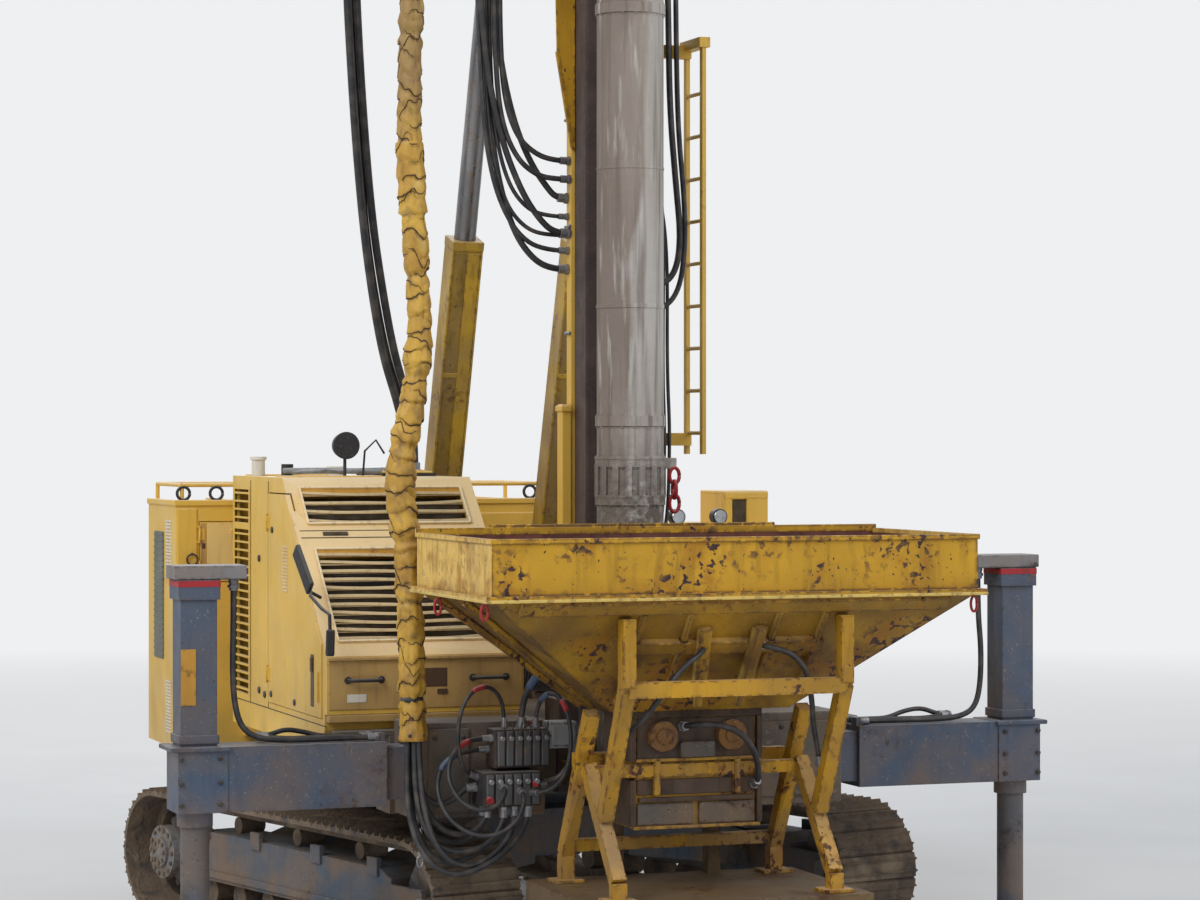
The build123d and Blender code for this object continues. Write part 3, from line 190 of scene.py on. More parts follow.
def painted(name, colour, shade=0.82, dirt=0.5, dirt_top=2.4, chips=0.4, chip_colour=rust, roughness=0.5,
            streaks=0.35, dirt_full=0.4, soil=mud, pale=0.35, grime_and_shading=0.0):
    """Paint with uneven patches, runs, mud thrown up from below and chips. The mud starts at dirt_top metres and is
    full at dirt_full; pale lightens what faces up, as painted sky light with some dust; grime darkens what faces down
    or to the left, as painted shade with dirt, and lightens what faces left, as a painted highlight."""
    n = Nodes(name)
    n.shader.inputs["Specular IOR Level"].default_value = 0.3
    facing = n.node("ShaderNodeSeparateXYZ")
    n.link(n.node("ShaderNodeTexCoord").outputs["Normal"], facing.inputs["Vector"])
    base = n.patch(colour, scaled(colour, shade), 0.35, 0.65, 1, 1.3, 4)
    # Dark soil on what faces down, and on what faces left and down: painted shade, with dirt
    if grime_and_shading:
        patchiness = n.spread(n.noise(3.4, 9, distortion=0.5), 0.30, 0.60, 0.55, 1)
        under = n.math("MULTIPLY", n.spread(facing.outputs["Z"], -0.15, -0.5, 0, grime_and_shading * 0.6), patchiness)
        left = n.math("MULTIPLY", n.math("MULTIPLY", n.spread(facing.outputs["X"], -0.3, -0.6, 0, grime_and_shading), patchiness),
                      n.spread(facing.outputs["Z"], -0.1, -0.3))
        base = n.mix(n.math("MAXIMUM", under, left), base, scaled(soil, 0.32))
        # Walls that face left are lightened: painted highlight
        base = n.mix(n.spread(facing.outputs["X"], -0.7, -0.95, 0, 0.6), base, (0.90, 0.63, 0.20))
    base = n.patch(base, (colour[0] * 0.42, colour[1] * 0.40, colour[2] * 0.5), 0.52, 0.74, streaks,
                   5.5, 8, (3.2, 3.2, 0.35))
    # What faces up is lightened: painted sky light, with some dust
    top_lit_colour = tuple(min(1, c * 0.65 + 0.36) for c in colour)
    base = n.mix(n.spread(facing.outputs["Z"], 0.3, 0.85, 0, pale), base, top_lit_colour)
    low = n.spread(n.height(), dirt_top, dirt_full)
    cloud = n.spread(n.noise(2.6, 9, distortion=0.4), 0.36, 0.62)
    base = n.mix(n.math("MULTIPLY", n.math("MULTIPLY", low, cloud), dirt), base, soil)
    base = n.patch(base, dust, 0.64, 0.72, dirt * 0.5, 60, 3)
    # Chips come in groups with a stain round them, and as specks and along the edges
    groups = n.spread(n.noise(2.1, 6, distortion=0.6), 0.62 - 0.14 * chips, 0.72 - 0.14 * chips)
    stain = n.math("MULTIPLY", groups, n.spread(n.noise(8, 7), 0.42, 0.62, 0, min(0.6, chips)))
    base = n.mix(stain, base, tuple(c * f for c, f in zip(colour, (0.5, 0.36, 0.4))))
    flakes = n.math("MULTIPLY", groups, n.spread(n.noise(19, 12, distortion=0.4), 0.545, 0.57))
    specks = n.spread(n.noise(34, 8), 0.70 - 0.03 * chips, 0.715 - 0.03 * chips)
    edge = n.math("MULTIPLY", n.edges(0.03), n.spread(n.noise(20, 9), 0.62 - 0.2 * chips, 0.67 - 0.2 * chips))
    worn = n.math("MAXIMUM", n.math("MAXIMUM", flakes, specks), edge)
    worn = n.math("MULTIPLY", worn, min(1.0, chips * 2.2))
    if grime_and_shading:
        worn = n.math("MULTIPLY", worn, n.spread(facing.outputs["X"], -0.95, -0.7, 0.3, 1))
    base = n.mix(worn, base, n.patch(chip_colour, scaled(chip_colour, 0.5), 0.4, 0.6, 1, 30, 6))
    rough = n.uneven(roughness - 0.1, roughness + 0.15, 3.5, 6)
    n.bump(n.math("SUBTRACT", n.noise(45, 6), n.math("MULTIPLY", worn, 0.8)), 0.14, 0.004)
    return n.finish(base, rough)


def rusty(name, colour, second, roughness=0.8, scale=3.0):
    """Bare or thinly painted steel with rust clouds and runs."""
    n = Nodes(name)
    base = n.patch(colour, second, 0.36, 0.64, 1, scale, 10, distortion=0.6)
    base = n.patch(base, scaled(second, 0.5), 0.5, 0.72, 0.6, 6, 8, (3.5, 3.5, 0.25))
    base = n.patch(base, tuple(min(1, c * 1.5) for c in colour), 0.55, 0.75, 0.45, 42, 5)
    n.bump(n.noise(28, 9), 0.3, 0.006)
    return n.finish(base, n.uneven(roughness - 0.15, roughness + 0.12, 5, 5))


def muddy(name, steel, soil=mud, cover=0.5):
    """Steel under clods of dried mud."""
    n = Nodes(name)
    clods = n.noise(7, 12, distortion=0.7)
    base = n.mix(n.spread(clods, 0.55 - 0.3 * cover, 0.72 - 0.3 * cover), steel, soil)
    base = n.patch(base, scaled(soil, 0.55), 0.5, 0.7, 0.5, 24, 8)
    base = n.patch(base, dust, 0.55, 0.7, 0.5, 3.2, 5)
    n.bump(n.math("ADD", clods, n.math("MULTIPLY", n.noise(40, 8), 0.35)), 0.75, 0.03)
    return n.finish(base, 0.9)


def caked(name):
    """The vibrator string: a brown stain down one side, pale steel on the other, gravel and mud at its foot."""
    n = Nodes(name)
    split = n.node("ShaderNodeSeparateXYZ")
    n.link(n.object_place, split.inputs["Vector"])
    reach = n.math("ADD", split.outputs["X"], n.math("MULTIPLY", n.noise(2.2, 9, (1, 1, 0.45), 0.6), 0.16))
    side = n.spread(n.math("ADD", reach, n.spread(n.height(), 5.5, 4.9, 0, 0.11)), 0.088, 0.125)
    base = n.mix(side, (0.225, 0.18, 0.15), (0.53, 0.505, 0.47))
    base = n.patch(base, (0.38, 0.33, 0.285), 0.42, 0.62, 0.65, 1.6, 9, (1, 1, 0.3), 0.4)
    base = n.patch(base, (0.15, 0.115, 0.09), 0.48, 0.66, 0.7, 8, 9, (2.4, 2.4, 0.10))
    base = n.patch(base, (0.60, 0.58, 0.54), 0.56, 0.72, 0.6, 9, 7, (2, 2, 0.22))
    low = n.math("MULTIPLY", n.spread(n.height(), 3.75, 3.25), n.spread(n.noise(18, 10), 0.3, 0.56))
    base = n.mix(low, base, (0.15, 0.125, 0.10))
    n.bump(n.math("ADD", n.noise(16, 10), n.math("MULTIPLY", low, n.noise(60, 4))), 0.5, 0.015)
    return n.finish(base, 0.8)


def rubber(name, colour=(0.022, 0.022, 0.024), roughness=0.42):
    """Hose rubber, dusty in patches."""
    n = Nodes(name)
    base = n.patch(colour, (0.12, 0.10, 0.085), 0.45, 0.7, 0.6, 9, 7)
    n.bump(n.noise(120, 3), 0.15, 0.002)
    return n.finish(base, n.uneven(roughness - 0.08, roughness + 0.25, 7, 5))


def wrapped_cloth(name):
    """The yellow wrap of the hose bundle: coated cloth, soiled, with painted shade in its folds."""
    n = Nodes(name)
    base = n.patch((0.62, 0.365, 0.045), (0.44, 0.235, 0.03), 0.35, 0.65, 1, 4, 7)
    base = n.mix(n.spread(n.height(), 5.6, 6.1, 0, 0.75), base, (0.27, 0.175, 0.07))
    base = n.patch(base, (0.22, 0.12, 0.03), 0.5, 0.68, 0.7, 15, 8, (1, 1, 0.6))
    base = n.patch(base, (0.72, 0.50, 0.15), 0.6, 0.75, 0.6, 6, 6)
    fold_shade = n.node("ShaderNodeNewGeometry").outputs["Pointiness"]
    # Hollows of the cloth are darkened: painted shade in the folds
    base = n.mix(n.spread(fold_shade, 0.495, 0.45, 0, 0.9), base, (0.13, 0.065, 0.018))
    n.bump(n.math("ADD", n.noise(26, 8), n.math("MULTIPLY", n.noise(160, 3), 0.3)), 0.45, 0.012)
    return n.finish(base, n.uneven(0.42, 0.62, 8, 4))


def bright_steel(name, colour, roughness=0.35, metallic=0.7):
    """Bare metal with dull clouds and specks of mud."""
    n = Nodes(name)
    base = n.patch(colour, scaled(colour, 0.6), 0.35, 0.65, 1, 3, 8, (1, 1, 0.3))
    base = n.patch(base, mud, 0.56, 0.72, 0.5, 14, 9)
    n.bump(n.noise(70, 5), 0.1, 0.003)
    return n.finish(base, n.uneven(roughness - 0.08, roughness + 0.2, 9, 6), metallic)


def clear_glass(name):
    """Panes, dusty in patches."""
    n = Nodes(name)
    base = n.patch((0.55, 0.62, 0.64), (0.42, 0.46, 0.46), 0.4, 0.7, 1, 3, 6)
    n.shader.inputs["Alpha"].default_value = 0.35
    return n.finish(base, n.uneven(0.04, 0.16, 12, 6))


slot_materials = {
    "track_steel": muddy("track_mud", (0.09, 0.075, 0.065), (0.175, 0.125, 0.085), cover=0.7),
    "undercarriage_grey": painted("undercarriage_paint", (0.09, 0.12, 0.16), dirt=0.8, dirt_top=1.9, chips=0.35,
                                  chip_colour=(0.12, 0.08, 0.05), roughness=0.62),
    "chassis_grey": painted("chassis_paint", (0.125, 0.112, 0.10), dirt=1.0, dirt_top=2.9, chips=0.4,
                            chip_colour=(0.19, 0.15, 0.115), roughness=0.68),
    "dark_steel": painted("dark_paint", (0.035, 0.034, 0.036), dirt=0.5, chips=0.3, chip_colour=(0.10, 0.08, 0.07)),
    "bare_steel": bright_steel("worn_steel", (0.34, 0.34, 0.36)),
    "outrigger_blue": painted("outrigger_paint", (0.08, 0.11, 0.165), dirt=0.8, dirt_top=2.9, chips=0.55,
                              chip_colour=(0.13, 0.09, 0.07), roughness=0.55),
    "leader_rust": rusty("leader_surface", (0.105, 0.072, 0.062), (0.058, 0.040, 0.036), roughness=0.7),
    "machine_yellow": painted("machine_paint", (0.80, 0.50, 0.085), shade=0.9, dirt=0.55, dirt_top=2.5, chips=0.10,
                              roughness=0.40, pale=1.0, streaks=0.16),
    "rod_grey": painted("rod_paint", (0.27, 0.275, 0.28), dirt=0.2, chips=0.5, chip_colour=(0.14, 0.10, 0.075)),
    "string_steel": caked("string_surface"),
    # The skip's dark soil below its lip is partly painted shade under the rim; its down- and left-facing faces get
    # painted shade and its left walls a painted highlight
    "skip_yellow": painted("skip_paint", (0.66, 0.36, 0.022), shade=0.72, dirt=0.92, dirt_top=2.86, chips=1.0,
                           chip_colour=(0.065, 0.03, 0.028), roughness=0.5, streaks=0.75, dirt_full=2.35,
                           soil=(0.12, 0.062, 0.02), grime_and_shading=0.9),
    "louvre_cream": painted("louvre_paint", (0.80, 0.63, 0.36), dirt=0.3, chips=0.15, roughness=0.5),
    "cab_glass": clear_glass("cab_panes"),
    "seat_black": rubber("seat_cloth", (0.03, 0.03, 0.032), 0.7),
    "hose_black": rubber("hose_rubber"),
    "sleeve_yellow": wrapped_cloth("sleeve_cloth"),
}
gold = painted("post_paint", (0.55, 0.29, 0.018), shade=0.65, dirt=0.85, dirt_top=2.6, chips=0.6, streaks=0.65)
stay_yellow = painted("stay_paint", (0.52, 0.32, 0.03), shade=0.76, dirt=0.7, dirt_top=14, chips=0.35, roughness=0.45,
                      streaks=0.75)
red = painted("loop_paint", (0.42, 0.03, 0.035), dirt=0.2, chips=0.3)
leg_grey = painted("leg_paint", (0.10, 0.11, 0.13), dirt=0.7, dirt_top=1.7, chips=0.6, chip_colour=(0.10, 0.075, 0.06))

# Every look that a piece can have: its material and its slot. A slot's own look has the slot's name.
looks = {slot: (material, slot) for slot, material in slot_materials.items()}
looks.update({
    "arm_gold": (gold, "machine_yellow"),
    "blue_wrap": (painted("hose_wrap_blue", (0.07, 0.12, 0.22), dirt=0.6, chips=0.2), "hose_black"),
    "cap_grey": (painted("cap_paint", (0.225, 0.22, 0.225), dirt=0.7, dirt_top=4.5, chips=0.5,
                         chip_colour=(0.10, 0.08, 0.07)), "rod_grey"),
    "crease_dark": (rubber("crease_shadow", (0.075, 0.038, 0.014), 0.8), "sleeve_yellow"),
    "door_pale": (painted("door_paint", (0.84, 0.60, 0.22), dirt=0.3, chips=0.1), "machine_yellow"),
    "eyelet_black": (slot_materials["dark_steel"], "hose_black"),
    "flap_brown": (rusty("flap_surface", (0.10, 0.062, 0.038), (0.05, 0.032, 0.024)), "skip_yellow"),
    "flap_grey": (painted("flap_grey", (0.12, 0.105, 0.09), shade=0.7, dirt=1.0, dirt_top=2.6, chips=0.6),
                  "skip_yellow"),
    "flap_orange": (painted("flap_orange", (0.27, 0.125, 0.03), shade=0.6, dirt=0.9, chips=0.6, streaks=0.7),
                    "skip_yellow"),
    "gold_paint": (gold, "skip_yellow"),
    "grille_grey": (painted("grille_paint", (0.17, 0.175, 0.14), dirt=0.4, chips=0.1), "rod_grey"),
    "ledge_yellow": (painted("ledge_paint", (0.74, 0.53, 0.14), dirt=0.2, chips=0.35), "skip_yellow"),
    "mirror_glass": (bright_steel("mirror_face", (0.55, 0.58, 0.6), 0.12, 1.0), "bare_steel"),
    # Also painted shade at the tops of the louvre openings
    "orange_patch_and_shade": (painted("orange_and_shade_paint", (0.58, 0.30, 0.045), pale=0.0, dirt=0.3, chips=0.3), "machine_yellow"),
    "pale_plate": (painted("plate_paint", (0.80, 0.75, 0.64), dirt=0.3, chips=0.1), "louvre_cream"),
    "panel_tan": (painted("panel_paint", (0.58, 0.365, 0.125), shade=0.78, dirt=0.85, dirt_top=2.7, chips=0.14,
                          roughness=0.55, streaks=0.5), "machine_yellow"),
    # Dark brown of the switches and controls, and painted shade where it stands for recesses
    "brown_and_recess_shade": (painted("dark_brown_and_recess_shade", (0.10, 0.055, 0.03), dirt=0.3, chips=0.2), "dark_steel"),
    "red_paint": (red, "leader_rust"),
    "red_wrap": (red, "hose_black"),
    "seam_dark": (rubber("seam_shadow", (0.05, 0.035, 0.015), 0.7), "dark_steel"),
    "skip_inside": (rusty("skip_inside", (0.17, 0.055, 0.035), (0.09, 0.028, 0.02), scale=4), "leader_rust"),
    # Painted shade for the left halves of the stays' fronts, with dirt runs
    "stay_painted_shade": (painted("stay_shade_and_runs", (0.34, 0.215, 0.035), shade=0.6, dirt=0.8, dirt_top=14, chips=0.4,
                           streaks=0.9), "machine_yellow"),
    "stay_paint": (stay_yellow, "machine_yellow"),
    "trim_cream": (painted("trim_paint", (0.84, 0.63, 0.30), dirt=0.3, chips=0.2, pale=1.0), "machine_yellow"),
    "valve_steel": (bright_steel("valve_steel", (0.15, 0.15, 0.155), 0.45, 0.5), "rod_grey"),
})

# The CAD's nodes, each in its slot's material, or in its own paint where the photograph shows another colour
node_paint = {
    "ladder": slot_materials["machine_yellow"], "skip_frame": gold, "skip_carriage": gold,
    "skip_deck": painted("deck_paint", (0.15, 0.095, 0.04), shade=0.7, pale=0.0, soil=(0.13, 0.09, 0.055), dirt=1.0,
                         dirt_top=3.2, chips=0.6, roughness=0.6, streaks=0.6),
    "stay_barrels": stay_yellow, "stay_rods": bright_steel("stay_chrome", (0.27, 0.26, 0.26), 0.24, 0.85),
    "leg_left": leg_grey, "leg_right": leg_grey,
    "track_wheels": muddy("wheel_mud", (0.21, 0.20, 0.195), (0.17, 0.125, 0.09), cover=0.35),
}
for row in frame["record"]["subparts"]:
    node = frame["nodes"][row["node"]]
    node.data.materials.clear()
    node.data.materials.append(node_paint.get(row["node"], slot_materials[row["material_slot"]]))


def soften(piece, width, angle=40, segments=2):
    """Rounds the edges of a piece that are sharper than an angle in degrees."""
    bevel = piece.modifiers.new("bevel", "BEVEL")
    bevel.width = width
    bevel.segments = segments
    bevel.limit_method = "ANGLE"
    bevel.angle_limit = math.radians(angle)


# Small radii on the edges of the CAD's plates and boxes: width in metres
edge_radii = {
    0.012: ("hood_shell", "rear_cabinet", "counterweight", "cab_shell", "outrigger_left", "outrigger_right",
            "stay_barrels", "main_frame", "outrigger_sleeves", "track_frames", "car_body"),
    0.006: ("hood_door", "cabinet_door", "cab_door", "skip_frame", "skip_deck", "leader_box", "skip_carriage",
            "side_decks", "valve_block", "leader_head", "stay_gusset", "exhaust"),
}
for width, names in edge_radii.items():
    for name in names:
        weld = frame["nodes"][name].modifiers.new("weld", "WELD")
        weld.merge_threshold = 0.0002
        soften(frame["nodes"][name], width)

# ---------------------------------------------------------------- building pieces


def add_object(name, data):
    """A new object in the scene."""
    made = bpy.data.objects.new(name, data)
    bpy.context.scene.collection.objects.link(made)
    return made


def add_mesh(name, body, look, build, bevel=0.0, smooth=False):
    """Makes one piece from a function that fills a bmesh, and puts it on its body."""
    mesh = bpy.data.meshes.new(name)
    shape = bmesh.new()
    build(shape)
    bmesh.ops.recalc_face_normals(shape, faces=shape.faces)
    shape.to_mesh(mesh)
    shape.free()
    material, slot = looks[look]
    mesh.materials.append(material)
    piece = add_object(name, mesh)
    if smooth:
        for polygon in mesh.polygons:
            polygon.use_smooth = True
    if bevel:
        soften(piece, bevel)
    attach(piece, body)
    return piece


def join_rings(shape, loops):
    """Faces from each ring of vertices to the next."""
    for low, high in zip(loops, loops[1:]):
        for k in range(len(low)):
            shape.faces.new([low[k], low[k - 1], high[k - 1], high[k]])


def box_into(shape, x, dy, z):
    """A box between two corners into a bmesh; each span is (low, high)."""
    corners = [shape.verts.new(at(a, b, c)) for c in z for b in dy for a in x]
    for face in ((0, 1, 3, 2), (4, 5, 7, 6), (0, 1, 5, 4), (2, 3, 7, 6), (0, 2, 6, 4), (1, 3, 7, 5)):
        shape.faces.new([corners[i] for i in face])


def bar_into(shape, start, end, width, depth, side=x_axis):
    """A rectangular bar between two points; its width lies along side."""
    along = (end - start).normalized()
    across = (side - along * side.dot(along)).normalized()
    normal = along.cross(across)
    loops = [[shape.verts.new(centre + across * a * width / 2 + normal * b * depth / 2)
              for a, b in ((-1, -1), (1, -1), (1, 1), (-1, 1))] for centre in (start, end)]
    shape.faces.new(loops[0])
    shape.faces.new(loops[1])
    join_rings(shape, loops)


def turns(count, offset=0):
    """Evenly spaced angles once round."""
    return [2 * math.pi * (k + offset) / count for k in range(count)]


def frame_along(points):
    """Two unit vectors across the line at each point, carried along it without twisting."""
    tangents = []
    for i in range(len(points)):
        ahead, behind = points[min(i + 1, len(points) - 1)], points[max(i - 1, 0)]
        tangents.append((ahead - behind).normalized())
    first = tangents[0].orthogonal().normalized()
    frames = []
    for tangent in tangents:
        first = (first - tangent * first.dot(tangent)).normalized()
        frames.append((first.copy(), tangent.cross(first)))
    return frames


def tube_into(shape, points, radius, sides=16):
    """A tube along points; radius is a number or a function of (point number, angle)."""
    loops = []
    for i, (point, (a, b)) in enumerate(zip(points, frame_along(points))):
        loop = []
        for angle in turns(sides):
            r = radius(i, angle) if callable(radius) else radius
            loop.append(shape.verts.new(point + a * math.cos(angle) * r + b * math.sin(angle) * r))
        loops.append(loop)
    join_rings(shape, loops)
    shape.faces.new(loops[0])
    shape.faces.new(loops[-1])


def ring_into(shape, centre, axis, radius, thickness, steps):
    """A torus round an axis through a centre."""
    first = axis.orthogonal().normalized()
    second = axis.cross(first).normalized()
    around = [2 * math.pi * k / steps for k in range(steps + 1)]
    points = [centre + first * radius * math.cos(a) + second * radius * math.sin(a) for a in around]
    tube_into(shape, points, thickness, 8)


def oval(x, dy, z, half_width, half_height, turned=False, steps=18):
    """The points of a standing ring that faces the front, or the side when turned."""
    points = []
    for k in range(steps + 1):
        angle = 2 * math.pi * k / steps
        across = half_width * math.cos(angle)
        points.append((x + (0 if turned else across), dy + (across if turned else 0),
                       z + half_height * math.sin(angle)))
    return points


def spans(low, high, pitch, count):
    """Evenly spaced spans, of which low to high is the first."""
    return [(low + k * pitch, high + k * pitch) for k in range(count)]


def pin(x, dy, z, radius):
    """A straight row for rods(): the one of x, dy and z that is a span gives the two ends."""
    return [[c[i] if isinstance(c, tuple) else c for c in (x, dy, z)] for i in (0, 1)], radius


# The makers of pieces. Rows are counted from the origin, which stands on the face that they belong to.


def boxes(name, body, look, rows, bevel=0.004, origin=(0, 0, 0)):
    """One piece of several boxes; each row is (x span, dy span, z span)."""
    def build(shape):
        for row in rows:
            box_into(shape, *([start + c for c in span] for start, span in zip(origin, row)))
    add_mesh(name, body, look, build, bevel)


def bars(name, body, look, rows, bevel=0.004):
    """One piece of several bars; each row is (start, end, width, depth)."""
    def build(shape):
        for start, end, width, depth in rows:
            bar_into(shape, at(*start), at(*end), width, depth)
    add_mesh(name, body, look, build, bevel)


def rods(name, body, look, rows, sides=20, origin=(0, 0, 0)):
    """One piece of several round rods; each row is (points, radius)."""
    def build(shape):
        for points, radius in rows:
            tube_into(shape, [at(*(start + c for start, c in zip(origin, p))) for p in points], radius, sides)
    soften(add_mesh(name, body, look, build), 0.003, 50, 1)


def rings(name, body, look, rows, thickness, steps=18, sides=8):
    """One piece of several standing rings; each row is as in oval()."""
    def build(shape):
        for row in rows:
            tube_into(shape, [at(*p) for p in oval(*row, steps=steps)], thickness, sides)
    add_mesh(name, body, look, build, smooth=True)


